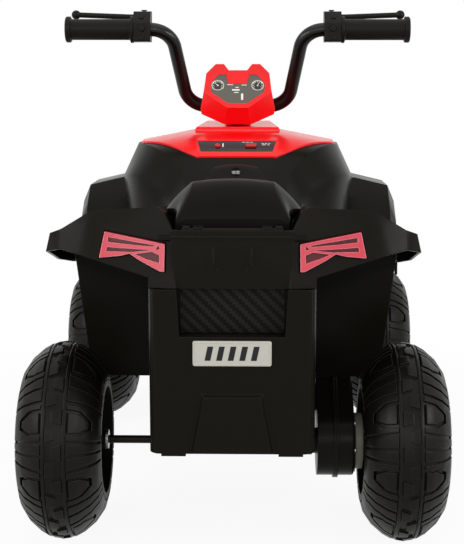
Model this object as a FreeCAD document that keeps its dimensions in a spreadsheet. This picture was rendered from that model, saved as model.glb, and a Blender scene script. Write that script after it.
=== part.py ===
import FreeCAD, Part
import Sketcher
import math
import os
import re
from types import SimpleNamespace
from FreeCAD import Placement, Rotation, Vector

# Child's battery quad bike. X to the rider's right, Y forward, Z up, origin on the ground.

# Driving dimensions: alias, millimetres (or degrees, or a count), meaning
SIZES = [
    # stance
    ("wheel_dia", 248, "tyre diameter over the lugs"),
    ("tyre_width", 104.5, "width of one tyre"),
    ("overall_width", 545, "width over the front tyres"),
    ("rear_width", 527, "width over the rear tyres"),
    ("wheelbase", 540, "rear axle to front axle"),
    ("front_overhang", 40, "bumper ahead of the front tyres"),
    # tyres and rims
    ("lug_height", 3, "tread lugs above the carcass"),
    ("tyre_wall", 3.5, "wall of the hollow tyre"),
    ("tread_pitches", 9, "repeats of the tread around the tyre"),
    ("rim_dia", 140, "bead seat of the rim"),
    ("rim_wall", 3, "wall of the moulded rim"),
    ("hub_dia", 24, "hub tube of the rim"),
    ("rim_spokes", 5, "spokes of the rim"),
    # fits
    ("run_clear", 0.06, "radial clearance of a running fit"),
    ("seat_clear", 0.2, "gap between seated pieces of one body"),
    ("move_clear", 0.5, "gap between pieces that move past each other"),
    # axles
    ("axle_dia", 10, "rear axle and front spindles"),
    ("nut_width", 17, "lock nuts across the flats"),
    ("nut_length", 8, "lock nut length"),
    ("bush_dia", 16, "axle bushes outside"),
    # lower body
    ("wall", 4, "moulded wall of the body"),
    ("body_width", 196, "rear box"),
    ("spine_width", 152, "body between the footrests"),
    ("rear_reach", 105, "rear face behind the rear axle"),
    ("floor_height", 140, "underside of the rear box"),
    ("box_height", 338, "top of the rear box"),
    ("sill_height", 300, "top of the spine"),
    ("nose_floor", 185, "underside of the nose"),
    ("nose_end", 650, "nose face ahead of the rear axle"),
    ("well_gap", 12, "tyre to wheel-well wall"),
    ("foot_length", 215, "footrest along Y"),
    ("foot_height", 182, "footrest top"),
    ("foot_depth", 12, "footrest edge height"),
    ("foot_reach", 208, "half width over the footrests"),
    ("recess_width", 124, "rear recess"),
    ("recess_floor", 282, "lower edge of the rear recess"),
    ("recess_depth", 22, "depth of the rear recess"),
    ("corner_radius", 14, "rear corners of the box"),
    # rear cover and seat
    ("fender_top", 430, "rear edge of the fender tops"),
    ("fender_reach", 226, "half width over the rear fenders"),
    ("fender_drop", 0.135, "fall of the fender tops towards the front, per mm"),
    ("deck_height", 398, "seat deck"),
    ("panel_width", 132, "rear panel between the fenders"),
    ("panel_top", 405, "upper edge of the rear panel"),
    ("bay_width", 90, "battery bay opening"),
    ("seat_hump", 59, "seat's rear hump above the deck"),
    ("seat_dip", 28, "lowest part of the seat above the deck"),
    ("seat_length", 250, "seat from the hinge to the tip of its tongue"),
    ("hinge_pin_dia", 6, "seat hinge pin"),
    # front cover
    ("hood_top", 483, "crown of the tank"),
    ("hood_width", 328, "width over the knees of the tank"),
    ("skin", 3, "red tank cover over the black shell"),
    ("plate_rise", 6, "raised collar plate on the tank cover"),
    ("front_fender_reach", 238, "half width over the front fenders"),
    ("front_fender_top", 404, "top of the front fenders"),
    # steering
    ("steer_rake", 28, "steering axis from the vertical, degrees"),
    ("crank_reach", 36, "crank and steering arm"),
    ("kingpin_x", 125, "kingpin from the centre line"),
    ("kingpin_dia", 10, "kingpin"),
    ("column_dia", 16, "steering column"),
    ("tie_width", 14, "tie rod"),
    ("tie_thick", 4, "tie rod"),
    ("tie_height", 142, "underside of the tie rod"),
    ("tie_pin_dia", 6, "tie rod pins"),
    # handlebar
    ("bar_dia", 19, "handlebar tube"),
    ("bar_wall", 1.5, "handlebar tube wall"),
    ("bar_width", 480, "handlebar over the grips"),
    ("bar_height", 519, "tube at the column"),
    ("bar_rise", 110, "rise of the tube to the grips"),
    ("bar_bend", 33, "bend radius of the tube"),
    ("riser_low", 72, "foot of the riser from the centre line"),
    ("riser_high", 93, "head of the riser from the centre line"),
    ("grip_length", 95, "grip"),
    ("grip_dia", 29, "grip"),
    ("perch_width", 24, "lever perch along the bar"),
    ("lever_ahead", 36, "lever ahead of the grip axis"),
    ("lever_above", 17, "lever above the grip axis"),
    ("lever_dia", 9, "lever"),
    # dash
    ("dash_width", 107, "dash housing"),
    ("dash_height", 84, "dash housing seen from behind"),
    ("dash_depth", 62, "dash housing front to back"),
    ("dash_tilt", 40, "dash face from the vertical, degrees"),
    ("neck_dia", 36, "dash neck"),
    # drive
    ("case_radius", 43, "gearbox case round the axle"),
    ("case_width", 46, "gearbox case along the axle"),
    ("case_wall", 3, "gearbox wall"),
    ("case_gap", 6, "gearbox case to body wall"),
    ("drive_module", 1.5, "module of the second stage"),
    ("drive_teeth", 40, "drive gear"),
    ("idler_small_teeth", 12, "idler, small side"),
    ("motor_module", 1, "module of the first stage"),
    ("idler_big_teeth", 36, "idler, big side"),
    ("pinion_teeth", 10, "motor pinion"),
    ("motor_dia", 36, "motor can"),
    ("motor_length", 57, "motor can"),
    ("motor_shaft_dia", 3.2, "motor shaft"),
    ("idler_pin_dia", 5, "idler pin"),
    ("coupling_dia", 70, "drive coupling"),
    ("coupling_width", 10, "drive coupling flange"),
    # plate and lamps
    ("plate_width", 92, "number plate"),
    ("plate_height", 30, "number plate"),
    ("plate_thick", 2.5, "number plate"),
    ("plate_low", 248, "number plate lower edge"),
    ("lamp_proud", 4, "tail lamp above the fender face"),
    ("lamp_sunk", 6, "tail lamp below the fender face"),
    # electrics and pedal
    ("battery_length", 151, "battery along Y"),
    ("battery_width", 65, "battery"),
    ("battery_height", 94, "battery"),
    ("pedal_length", 84, "foot pedal"),
    ("pedal_width", 58, "foot pedal"),
    ("pedal_lift", 16, "front edge of the pedal above the footrest"),
    ("socket_bore", 5.6, "charging socket"),
]

doc = FreeCAD.newDocument("quad_bike")
sheet = doc.addObject("Spreadsheet::Sheet", "sizes")
for row, (alias, value, note) in enumerate(SIZES, start=1):
    sheet.set("A%d" % row, alias)
    sheet.set("B%d" % row, str(value))
    sheet.set("C%d" % row, note)
    sheet.setAlias("B%d" % row, alias)
doc.recompute()
s = SimpleNamespace(**{alias: float(sheet.get(alias)) for alias, value, note in SIZES})

# Places that follow from the driving dimensions
WHEEL_R = s.wheel_dia / 2
WHEEL_X = (s.overall_width - s.tyre_width) / 2
REAR_X = (s.rear_width - s.tyre_width) / 2
REAR_Y = -(s.wheelbase + s.front_overhang) / 2
FRONT_Y = REAR_Y + s.wheelbase
AXLE_Z = WHEEL_R
AXLE_R = s.axle_dia / 2
HALF_TYRE = s.tyre_width / 2
HUB_OUT = 0.72 * HALF_TYRE
HUB_IN = 0.96 * HALF_TYRE
BODY_X = s.body_width / 2
SPINE_X = s.spine_width / 2
WELL_Y = WHEEL_R + s.well_gap
HOOD_Y = WELL_Y + s.wall
RAKE = math.radians(s.steer_rake)

PIECES = {}
WORD = re.compile(r"[a-z][a-z_0-9]*")
TURN = {
    "X": Rotation(Vector(0, 1, 0), 90),
    "Y": Rotation(Vector(1, 0, 0), -90),
    "Z": Rotation(),
}
BACKWARDS = Rotation(Vector(0, 0, 1), 180)


# Shared helpers


def along(distance):
    """Y of a place measured forward from the rear axle."""
    return REAR_Y + distance


def bind(obj, prop, text):
    """Binds a property to an expression written with the sheet's aliases."""
    obj.setExpression(
        prop,
        WORD.sub(lambda word: "sizes." * hasattr(s, word.group()) + word.group(), text),
    )


def keep(label, obj):
    """Registers a document object as the sub-part of that name."""
    obj.Label = label
    PIECES[label] = obj
    return obj


def piece(label, shape, place=Placement()):
    """Adds a sub-part whose shape is worked out in code."""
    obj = doc.addObject("Part::Feature", label)
    obj.Shape = shape
    obj.Placement = place
    return keep(label, obj)


def bar(name, radius, length, at, axis="X"):
    """A cylinder bound to the sheet, starting at three expressions and running along an axis."""
    obj = doc.addObject("Part::Cylinder", name)
    bind(obj, "Radius", radius)
    bind(obj, "Height", length)
    obj.Placement = Placement(Vector(), TURN[axis])
    for key, text in zip("xyz", at):
        bind(obj, "Placement.Base." + key, text)
    return obj


def joined(kind, name, objects):
    """A Part boolean or group of document objects."""
    obj = doc.addObject(kind, name)
    if kind == "Part::Cut":
        obj.Base, obj.Tool = objects
    elif kind == "Part::Compound":
        obj.Links = objects
    else:
        obj.Shapes = objects
    return obj


def sketched(body, name, role, corners):
    """A closed sketch of straight edges whose corners are bound to expressions."""
    sketch = body.newObject("Sketcher::SketchObject", name)
    plane = next(item for item in body.Origin.OriginFeatures if item.Role == role)
    sketch.AttachmentSupport = [(plane, "")]
    sketch.MapMode = "FlatFace"
    count = len(corners)
    spread = [
        Vector(math.cos(2 * math.pi * i / count), math.sin(2 * math.pi * i / count), 0) * WHEEL_R
        for i in range(count)
    ]
    for i in range(count):
        sketch.addGeometry(Part.LineSegment(spread[i], spread[(i + 1) % count]))
    for i in range(count):
        sketch.addConstraint(Sketcher.Constraint("Coincident", i, 2, (i + 1) % count, 1))
    for i, corner in enumerate(corners):
        for kind, axis, text in zip(("DistanceX", "DistanceY"), (-2, -1), corner):
            if text == "0":
                sketch.addConstraint(Sketcher.Constraint("PointOnObject", i, 1, axis))
                continue
            index = sketch.addConstraint(Sketcher.Constraint(kind, -1, 1, i, 1, 1.0))
            bind(sketch, "Constraints[%d]" % index, text)
    return sketch


def turned(name, corners):
    """A body of revolution about X; corners are (axial, radial) expressions."""
    body = doc.addObject("PartDesign::Body", name)
    profile = sketched(body, name + "_profile", "XZ_Plane", corners)
    turn = body.newObject("PartDesign::Revolution", name + "_turn")
    turn.Profile = profile
    turn.ReferenceAxis = (profile, ["H_Axis"])
    turn.Angle = 360
    return body


def outline(points):
    """Closed wire of straight edges."""
    return Part.makePolygon(list(points) + [points[0]])


def prism(points, direction):
    """Solid swept from a flat outline."""
    return Part.Face(outline(points)).extrude(direction)


def slab(x, y, z):
    """Box between pairs of bounds."""
    return Part.makeBox(x[1] - x[0], y[1] - y[0], z[1] - z[0], Vector(x[0], y[0], z[0]))


def rod(radius, start, end):
    """Cylinder between two points."""
    return Part.makeCylinder(radius, (end - start).Length, start, end - start)


def loft(sections, ruled=True):
    """Solid through a row of outlines with equal corner counts."""
    return Part.makeLoft([outline(points) for points in sections], True, ruled)


def beyond(point, normal):
    """Large block on the outer side of a plane."""
    return Part.makeCylinder(s.wheelbase, s.wheelbase, point, normal)


def mirrored(shape):
    """The same shape on the other side of the centre line."""
    return shape.mirror(Vector(), Vector(1, 0, 0))


def both(points):
    """Outline completed by mirroring a half outline that runs from top to bottom at X > 0."""
    return points + [Vector(-p.x, p.y, p.z) for p in reversed(points)]


def fused(shapes):
    """One solid from overlapping shapes."""
    return shapes[0].fuse(shapes[1:]).removeSplitter()


def softened(shape, radius, chosen):
    """Rounds the edges for which the test holds."""
    return shape.makeFillet(radius, [edge for edge in shape.Edges if chosen(edge)])


def upright(edge):
    """True for a straight edge along Z."""
    first, last = edge.Vertexes[0].Point, edge.Vertexes[-1].Point
    return abs(first.x - last.x) + abs(first.y - last.y) < 1e-6 < abs(first.z - last.z)


# Tyres: hollow moulded carcass with two rails and a lug pattern

CARCASS = "(wheel_dia / 2 - lug_height)"
# Bead of the tyre, in shares of half the width
BEAD = 0.943
# Carcass section as shares of half the width and of the carcass radius, crown to bead
TYRE_SHAPE = [(0.24, 0.985), (0.46, 0.932), (0.71, 0.838), (0.885, 0.725), (BEAD, 0.63)]
# Lugs of one pitch on the right half: shares of half the width and of the pitch
SIDE_LUGS = [
    [(0.30, 0.02), (1.0, 0.03), (1.0, 0.16), (0.30, 0.17)],
    [(0.30, 0.22), (1.0, 0.21), (1.0, 0.36), (0.30, 0.39)],
    [(0.30, 0.44), (1.0, 0.41), (1.0, 0.98), (0.30, 0.97), (0.30, 0.90), (0.60, 0.90), (0.82, 0.79),
     (0.82, 0.63),
     (0.60, 0.51), (0.30, 0.51)],
    [(0.34, 0.56), (0.57, 0.57), (0.76, 0.66), (0.76, 0.76), (0.57, 0.85), (0.34, 0.86)],
]
CENTRE_LUGS = [
    [(-0.18, 0.02), (0.04, 0.06), (0.04, 0.20), (-0.18, 0.24)],
    [(0.18, 0.27), (-0.04, 0.31), (-0.04, 0.45), (0.18, 0.49)],
    [(-0.18, 0.52), (0.04, 0.56), (0.04, 0.70), (-0.18, 0.74)],
    [(0.18, 0.77), (-0.04, 0.81), (-0.04, 0.95), (0.18, 0.99)],
]
RAIL = (0.21, 0.28)
# Middle of the first centre lug, in pitches; with it at the top, the third one is at the bottom
LUG_AT_TOP = 0.13


def tyre_carcass():
    """Half-open hollow ring that clips on the rim's bead seats."""
    bead = ("%s * tyre_width / 2" % BEAD, "rim_dia / 2 + seat_clear")
    outer = [("%s * tyre_width / 2" % a, "%s * %s" % (r, CARCASS)) for a, r in TYRE_SHAPE]
    half = [("0", CARCASS)] + outer + [bead]
    inner = [("%s - tyre_wall" % a, "%s - 0.6 * tyre_wall" % r) for a, r in outer]
    half += [("%s - tyre_wall" % bead[0], bead[1])] + inner[::-1]
    half += [("0", "%s - tyre_wall" % CARCASS)]
    left = [("-(%s)" % a, r) for a, r in half[::-1] if a != "0"]
    return turned("tyre_carcass", half + left)


def tread_shell(low, high):
    """Ring between two offsets of the carcass surface."""
    radius = WHEEL_R - s.lug_height
    shape = [(-a, r) for a, r in reversed(TYRE_SHAPE)] + [(0, 1)] + TYRE_SHAPE
    spots = [Vector(a * HALF_TYRE, 0, r * radius) for a, r in shape]
    rows = []
    for offset in (low, high):
        row = []
        for i, spot in enumerate(spots):
            run = spots[min(i + 1, len(spots) - 1)] - spots[max(i - 1, 0)]
            row.append(spot + Vector(-run.z, 0, run.x) * (offset / run.Length))
        rows.append(row)
    ring = Part.Face(outline(rows[1] + rows[0][::-1]))
    return ring.revolve(Vector(), Vector(1, 0, 0), 360)


def lug(points, flip):
    """Wedge from the axle through a lug's outline, centred on its own angle."""
    radius = WHEEL_R - s.lug_height
    pitch = 2 * math.pi * radius / s.tread_pitches
    middle = sum(t for a, t in points) / len(points)
    rows = [
        [Vector(flip * a * HALF_TYRE, (t - middle) * pitch * share, share * radius) for a, t in points]
        for share in (0.5, 1.1)
    ]
    block = loft(rows)
    block.rotate(Vector(), Vector(1, 0, 0), (LUG_AT_TOP - middle) * 360 / s.tread_pitches)
    return block


def tyre_shape(carcass):
    """Carcass with its rails and lugs."""
    root = -0.4 * s.tyre_wall
    blocks = [lug(points, flip) for points in SIDE_LUGS for flip in (-1, 1)]
    blocks += [lug(points, 1) for points in CENTRE_LUGS]
    pitch_lugs = tread_shell(root, s.lug_height).common(Part.makeCompound(blocks)).Solids
    copies = []
    for i in range(int(s.tread_pitches)):
        for solid in pitch_lugs:
            copy = solid.copy()
            copy.rotate(Vector(), Vector(1, 0, 0), i * 360 / s.tread_pitches)
            copies.append(copy)
    low_tread = tread_shell(root, 0.7 * s.lug_height)
    for side in (-1, 1):
        band = sorted((side * RAIL[0] * HALF_TYRE, side * RAIL[1] * HALF_TYRE))
        copies.append(low_tread.common(slab(band, (-WHEEL_R, WHEEL_R), (-WHEEL_R, WHEEL_R))))
    return carcass.fuse(copies)


# Rims: bead seats and lips, a spoked web and a hub tube slotted for the drive dogs


def rim_body():
    """The rim as a revolved section with windows between its spokes."""
    bore = "axle_dia / 2 + run_clear"
    hub = "hub_dia / 2"
    seat = "rim_dia / 2"
    inside = "rim_dia / 2 - rim_wall"
    lip = "rim_dia / 2 + 1.6 * rim_wall"
    bead = "%s * tyre_width / 2 + seat_clear" % BEAD
    edge = bead + " + 0.8 * rim_wall"
    web = "0.35 * tyre_width / 2"
    corners = [("-0.96 * tyre_width / 2", bore), ("0.72 * tyre_width / 2", bore),
               ("0.72 * tyre_width / 2", hub)]
    corners += [(web + " + rim_wall", "hub_dia / 2 + rim_wall"), (web + " + rim_wall", inside)]
    corners += [(edge, inside), (edge, lip), (bead, lip), (bead, seat)]
    corners += [("-(%s)" % bead, seat), ("-(%s)" % bead, lip), ("-(%s)" % edge, lip),
                ("-(%s)" % edge, inside)]
    corners += [(web + " - rim_wall", inside), (web + " - rim_wall", "hub_dia / 2 + rim_wall")]
    corners += [("-0.96 * tyre_width / 2", hub)]
    body = turned("rim", corners)
    near = "hub_dia / 2 + 3 * rim_wall"
    far = "rim_dia / 2 - 4 * rim_wall"
    window = [("-0.06 * rim_dia", near), ("0.06 * rim_dia", near), ("0.15 * rim_dia", far),
              ("-0.15 * rim_dia", far)]
    sketch = sketched(body, "rim_window", "YZ_Plane", window)
    pocket = body.newObject("PartDesign::Pocket", "rim_pocket")
    pocket.Profile = sketch
    pocket.Type = "ThroughAll"
    pocket.Midplane = True
    pattern = body.newObject("PartDesign::PolarPattern", "rim_windows")
    pattern.Originals = [pocket]
    pattern.Axis = (next(item for item in body.Origin.OriginFeatures if item.Role == "X_Axis"), [""])
    pattern.Angle = 360
    bind(pattern, "Occurrences", "rim_spokes")
    body.Tip = pattern
    return body


def dog_slot():
    """Slot across the inner end of the hub."""
    slot = doc.addObject("Part::Box", "dog_slot")
    bind(slot, "Length", "0.6 * axle_dia")
    bind(slot, "Width", "0.5 * axle_dia")
    bind(slot, "Height", "1.2 * hub_dia")
    bind(slot, "Placement.Base.x", "-0.96 * tyre_width / 2")
    bind(slot, "Placement.Base.y", "-0.25 * axle_dia")
    bind(slot, "Placement.Base.z", "-0.6 * hub_dia")
    return slot


def wheels():
    """Four tyres on four rims."""
    carcass = tyre_carcass()
    rim = joined("Part::Cut", "slotted_rim", [rim_body(), dog_slot()])
    doc.recompute()
    tyre = tyre_shape(carcass.Shape)
    for end, x, y in (("rear", REAR_X, REAR_Y), ("front", WHEEL_X, FRONT_Y)):
        for hand, side, turn in (("left", -1, BACKWARDS), ("right", 1, Rotation())):
            place = Placement(Vector(side * x, y, AXLE_Z), turn)
            piece("tyre_%s_%s" % (end, hand), tyre, place)
            piece("rim_%s_%s" % (end, hand), rim.Shape, place)


wheels()

# Rear axle with its bushes, washers and nuts

MID_X = "(rear_width - tyre_width) / 2"
AXLE_END = "(%s + 0.36 * tyre_width + 1.25 * nut_length)" % MID_X
REAR_AT = "-(wheelbase + front_overhang) / 2"
AXLE_AT = "wheel_dia / 2"


def nut(name, x):
    """Hexagon lock nut along X."""
    obj = doc.addObject("Part::Prism", name)
    obj.Polygon = 6
    bind(obj, "Circumradius", "0.577 * nut_width")
    bind(obj, "Height", "nut_length")
    obj.Placement = Placement(Vector(), TURN["X"])
    for key, text in zip("xyz", (x, REAR_AT, AXLE_AT)):
        bind(obj, "Placement.Base." + key, text)
    bore = bar(name + "_bore", "axle_dia / 2 + run_clear", "nut_length", (x, REAR_AT, AXLE_AT))
    return joined("Part::Cut", name + "_bored", [obj, bore])


def rear_axle():
    """Solid axle fixed in the body; the wheels turn on its ends."""
    keep("rear_axle", bar("axle", "axle_dia / 2", "2 * " + AXLE_END, ("-" + AXLE_END, REAR_AT, AXLE_AT)))
    outer = "%s + 0.36 * tyre_width + move_clear" % MID_X
    inner = "%s - 0.48 * tyre_width - move_clear" % MID_X
    washer = bar("washer_disc", "hub_dia / 2", "case_wall", ("-(%s)" % inner, REAR_AT, AXLE_AT))
    hole = bar("washer_hole", "axle_dia / 2 + run_clear", "case_wall", ("-(%s)" % inner, REAR_AT, AXLE_AT))
    nuts = [nut("nut_right", outer), nut("nut_left", "-(%s + nut_length)" % outer)]
    nuts.append(joined("Part::Cut", "washer", [washer, hole]))
    keep("rear_axle_nuts", joined("Part::Compound", "axle_nuts", nuts))


def axle_bushes():
    """Flanged bushes in the side walls of the rear box, flanges inside."""
    bushes = []
    for hand, sign in (("left", "-"), ("right", "")):
        bush = turned(
            "bush_" + hand,
            [
                (sign + "(body_width / 2 - 2 * wall)", "axle_dia / 2 + run_clear"),
                (sign + "(body_width / 2)", "axle_dia / 2 + run_clear"),
                (sign + "(body_width / 2)", "bush_dia / 2"),
                (sign + "(body_width / 2 - wall)", "bush_dia / 2"),
                (sign + "(body_width / 2 - wall)", "0.8 * bush_dia"),
                (sign + "(body_width / 2 - 2 * wall)", "0.8 * bush_dia"),
            ],
        )
        bind(bush, "Placement.Base.y", REAR_AT)
        bind(bush, "Placement.Base.z", AXLE_AT)
        bushes.append(bush)
    keep("axle_bushes", joined("Part::Compound", "bush_pair", bushes))


# Gearbox: motor pinion, idler and drive gear between two case halves

PRESSURE = math.radians(25)
TIP = 0.8
ROOT = 1.1
BACKLASH = 0.16
STAGE_ANGLE = math.radians(50)
PINION_ANGLE = math.radians(40)
CASE_X = BODY_X + s.case_gap
CASE_END = CASE_X + s.case_width
GEAR_X = CASE_X + 2 * s.case_wall
BIG_WIDTH = 7
DRIVE_WIDTH = 12
SMALL_RADIUS = s.drive_module * s.idler_small_teeth / 2
DRIVE_RADIUS = s.drive_module * s.drive_teeth / 2
AXLE_CENTRE = Vector(0, REAR_Y, AXLE_Z)
IDLER_CENTRE = AXLE_CENTRE + (Vector(0, math.cos(STAGE_ANGLE), math.sin(STAGE_ANGLE))
                              * (DRIVE_RADIUS + SMALL_RADIUS))
MOTOR_REACH = s.motor_module * (s.idler_big_teeth + s.pinion_teeth) / 2
MOTOR_CENTRE = IDLER_CENTRE + Vector(0, math.cos(PINION_ANGLE), math.sin(PINION_ANGLE)) * MOTOR_REACH


def at_x(centre, x):
    """A point of an axis that runs along X."""
    return Vector(x, centre.y, centre.z)


def toothed(teeth, module, phase, centre, x, width):
    """Spur gear with involute flanks about an axis along X; a tooth points at the phase angle."""
    pitch = module * teeth / 2
    base = pitch * math.cos(PRESSURE)
    tip = pitch + TIP * module
    root = pitch - ROOT * module
    half_pitch = math.pi / (2 * teeth) - BACKLASH * module / (2 * pitch)

    def half_angle(radius):
        flank = math.acos(min(1, base / radius))
        return half_pitch + math.tan(PRESSURE) - PRESSURE - math.tan(flank) + flank

    start = max(base, root)
    radii = [start + (tip - start) * i / 3 for i in range(4)]
    flanks = [(radius, half_angle(radius)) for radius in radii]
    if root < start:
        flanks.insert(0, (root, flanks[0][1]))
    points = []
    for tooth in range(int(teeth)):
        middle = phase + 2 * math.pi * tooth / teeth
        side = [(radius, middle - angle) for radius, angle in flanks]
        side += [(radius, middle + angle) for radius, angle in reversed(flanks)]
        points += [
            Vector(x, centre.y + radius * math.cos(angle), centre.z + radius * math.sin(angle))
            for radius, angle in side
        ]
    return prism(points, Vector(width, 0, 0))


def gears():
    """Drive gear with its coupling, idler, and pinion on the motor shaft."""
    drive_x = GEAR_X + BIG_WIDTH + s.case_wall
    coupling_end = REAR_X - HUB_IN - s.seat_clear
    hub = 0.5 * s.bush_dia + 2
    drive = toothed(s.drive_teeth, s.drive_module, STAGE_ANGLE, AXLE_CENTRE, drive_x, DRIVE_WIDTH)
    flange_x = coupling_end - s.coupling_width
    flange = rod(s.coupling_dia / 2, at_x(AXLE_CENTRE, flange_x), at_x(AXLE_CENTRE, coupling_end))
    flange = softened(flange, 1.5, lambda edge: edge.Length > 2 * s.coupling_dia)
    sleeve = rod(hub, at_x(AXLE_CENTRE, CASE_X + s.case_wall + s.move_clear), at_x(AXLE_CENTRE, coupling_end))
    dog = slab(
        (flange_x, coupling_end + 0.5 * s.axle_dia),
        (REAR_Y - 0.25 * s.axle_dia + s.seat_clear, REAR_Y + 0.25 * s.axle_dia - s.seat_clear),
        (AXLE_Z - s.hub_dia / 2 + s.seat_clear, AXLE_Z + s.hub_dia / 2 - s.seat_clear),
    )
    drive = fused([drive, sleeve, flange, dog])
    bore = rod(AXLE_R + s.run_clear, at_x(AXLE_CENTRE, CASE_X), at_x(AXLE_CENTRE, REAR_X))
    piece("drive_gear", drive.cut(bore))

    small = toothed(
        s.idler_small_teeth,
        s.drive_module,
        STAGE_ANGLE + math.pi + math.pi / s.idler_small_teeth,
        IDLER_CENTRE,
        GEAR_X + BIG_WIDTH,
        DRIVE_WIDTH + 2 * s.case_wall,
    )
    big = toothed(s.idler_big_teeth, s.motor_module, PINION_ANGLE, IDLER_CENTRE, GEAR_X, BIG_WIDTH)
    hole = rod(s.idler_pin_dia / 2 + s.run_clear, at_x(IDLER_CENTRE, CASE_X), at_x(IDLER_CENTRE, CASE_END))
    piece("idler_gear", fused([small, big]).cut(hole))
    pin = bar(
        "idler_spindle",
        "idler_pin_dia / 2",
        "case_width",
        ("body_width / 2 + case_gap", "%.6f" % IDLER_CENTRE.y, "%.6f" % IDLER_CENTRE.z),
    )
    keep("idler_pin", pin)

    teeth = toothed(
        s.pinion_teeth,
        s.motor_module,
        PINION_ANGLE + math.pi + math.pi / s.pinion_teeth,
        MOTOR_CENTRE,
        GEAR_X - 0.5,
        BIG_WIDTH + 1,
    )
    shaft = rod(
        s.motor_shaft_dia / 2,
        at_x(MOTOR_CENTRE, CASE_X - 0.3 * s.motor_length),
        at_x(MOTOR_CENTRE, GEAR_X + BIG_WIDTH + 2),
    )
    piece("motor_pinion", fused([teeth, shaft]))


def case_block(inset, x, width):
    """Prism over the outline that wraps the drive gear and the motor pinion."""
    near = s.case_radius - inset
    far = 0.62 * s.case_radius - inset
    offset = MOTOR_CENTRE - AXLE_CENTRE
    angle = math.atan2(offset.z, offset.y)
    spread = math.acos((near - far) / offset.Length)

    def on(centre, radius, turn):
        return Vector(x, centre.y + radius * math.cos(turn), centre.z + radius * math.sin(turn))

    edges = [
        Part.Arc(
            on(AXLE_CENTRE, near, angle + spread),
            on(AXLE_CENTRE, near, angle + math.pi),
            on(AXLE_CENTRE, near, angle - spread),
        ).toShape(),
        Part.LineSegment(on(AXLE_CENTRE, near, angle - spread),
                         on(MOTOR_CENTRE, far, angle - spread)).toShape(),
        Part.Arc(
            on(MOTOR_CENTRE, far, angle - spread),
            on(MOTOR_CENTRE, far, angle),
            on(MOTOR_CENTRE, far, angle + spread),
        ).toShape(),
        Part.LineSegment(on(MOTOR_CENTRE, far, angle + spread),
                         on(AXLE_CENTRE, near, angle + spread)).toShape(),
    ]
    return Part.Face(Part.Wire(edges)).extrude(Vector(width, 0, 0))


def gearbox():
    """Two case halves that meet on a flange, and the motor on the inner one."""
    split = CASE_X + s.case_width / 2
    pin_hole = rod(s.idler_pin_dia / 2 + s.run_clear, at_x(IDLER_CENTRE, 0), at_x(IDLER_CENTRE, REAR_X))
    axle_hole = rod(AXLE_R + s.run_clear, at_x(AXLE_CENTRE, 0), at_x(AXLE_CENTRE, REAR_X))
    boss = rod(s.bush_dia, at_x(AXLE_CENTRE, BODY_X), at_x(AXLE_CENTRE, CASE_X))
    flange = case_block(-s.case_wall, split - s.case_wall, s.case_wall)
    inner = fused([case_block(0, CASE_X, s.case_width / 2), boss, flange])
    inner = inner.cut(case_block(s.case_wall, CASE_X + s.case_wall, s.case_width / 2))
    shaft_hole = rod(2 * s.motor_shaft_dia, at_x(MOTOR_CENTRE, 0), at_x(MOTOR_CENTRE, split))
    piece("gearbox_inner_case", inner.cut([pin_hole, axle_hole, shaft_hole]))

    flange = case_block(-s.case_wall, split, s.case_wall)
    outer = fused([case_block(0, split, s.case_width / 2), flange])
    outer = softened(outer, s.case_wall, lambda edge: edge.BoundBox.XMin > CASE_END - 0.1)
    outer = outer.cut(case_block(s.case_wall, split, s.case_width / 2 - s.case_wall))
    sleeve_hole = rod(0.5 * s.bush_dia + 2 + s.move_clear, at_x(AXLE_CENTRE, 0), at_x(AXLE_CENTRE, REAR_X))
    piece("gearbox_outer_case", outer.cut([pin_hole, sleeve_hole]))

    bore = "motor_shaft_dia / 2 + run_clear"
    motor = turned(
        "motor_can",
        [
            ("-motor_length", "0"),
            ("-motor_length", "0.24 * motor_dia"),
            ("-0.94 * motor_length", "0.3 * motor_dia"),
            ("-0.94 * motor_length", "motor_dia / 2"),
            ("0", "motor_dia / 2"),
            ("0", bore),
            ("-0.32 * motor_length", bore),
            ("-0.32 * motor_length", "0"),
        ],
    )
    bind(motor, "Placement.Base.x", "body_width / 2 + case_gap")
    motor.Placement.Base.y = MOTOR_CENTRE.y
    motor.Placement.Base.z = MOTOR_CENTRE.z
    keep("motor", motor)


rear_axle()
axle_bushes()
gears()
gearbox()

# Front axle with its kingpins, knuckles, tie rod and the steering column

STEER_AXIS = Vector(0, -math.sin(RAKE), math.cos(RAKE))
CRANK_WAY = Vector(0, -math.cos(RAKE), -math.sin(RAKE))
TIE_MID = s.tie_height + s.tie_thick / 2
CRANK_POINT = Vector(0, FRONT_Y - s.crank_reach, TIE_MID)
STEER_FOOT = CRANK_POINT - CRANK_WAY * s.crank_reach
SLEEVE_R = s.kingpin_dia
EAR_LOW = AXLE_Z - 2.2 * s.axle_dia
EAR_HIGH = s.tie_height
EAR_THICK = 4
BEAM = 18
CRANK_PIN_R = 3.5
CRANK_LIFT = 2.2 * s.tie_thick


def on_steer_axis(z):
    """Point of the steering axis at a height."""
    return STEER_FOOT + STEER_AXIS * ((z - STEER_FOOT.z) / STEER_AXIS.z)


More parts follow.
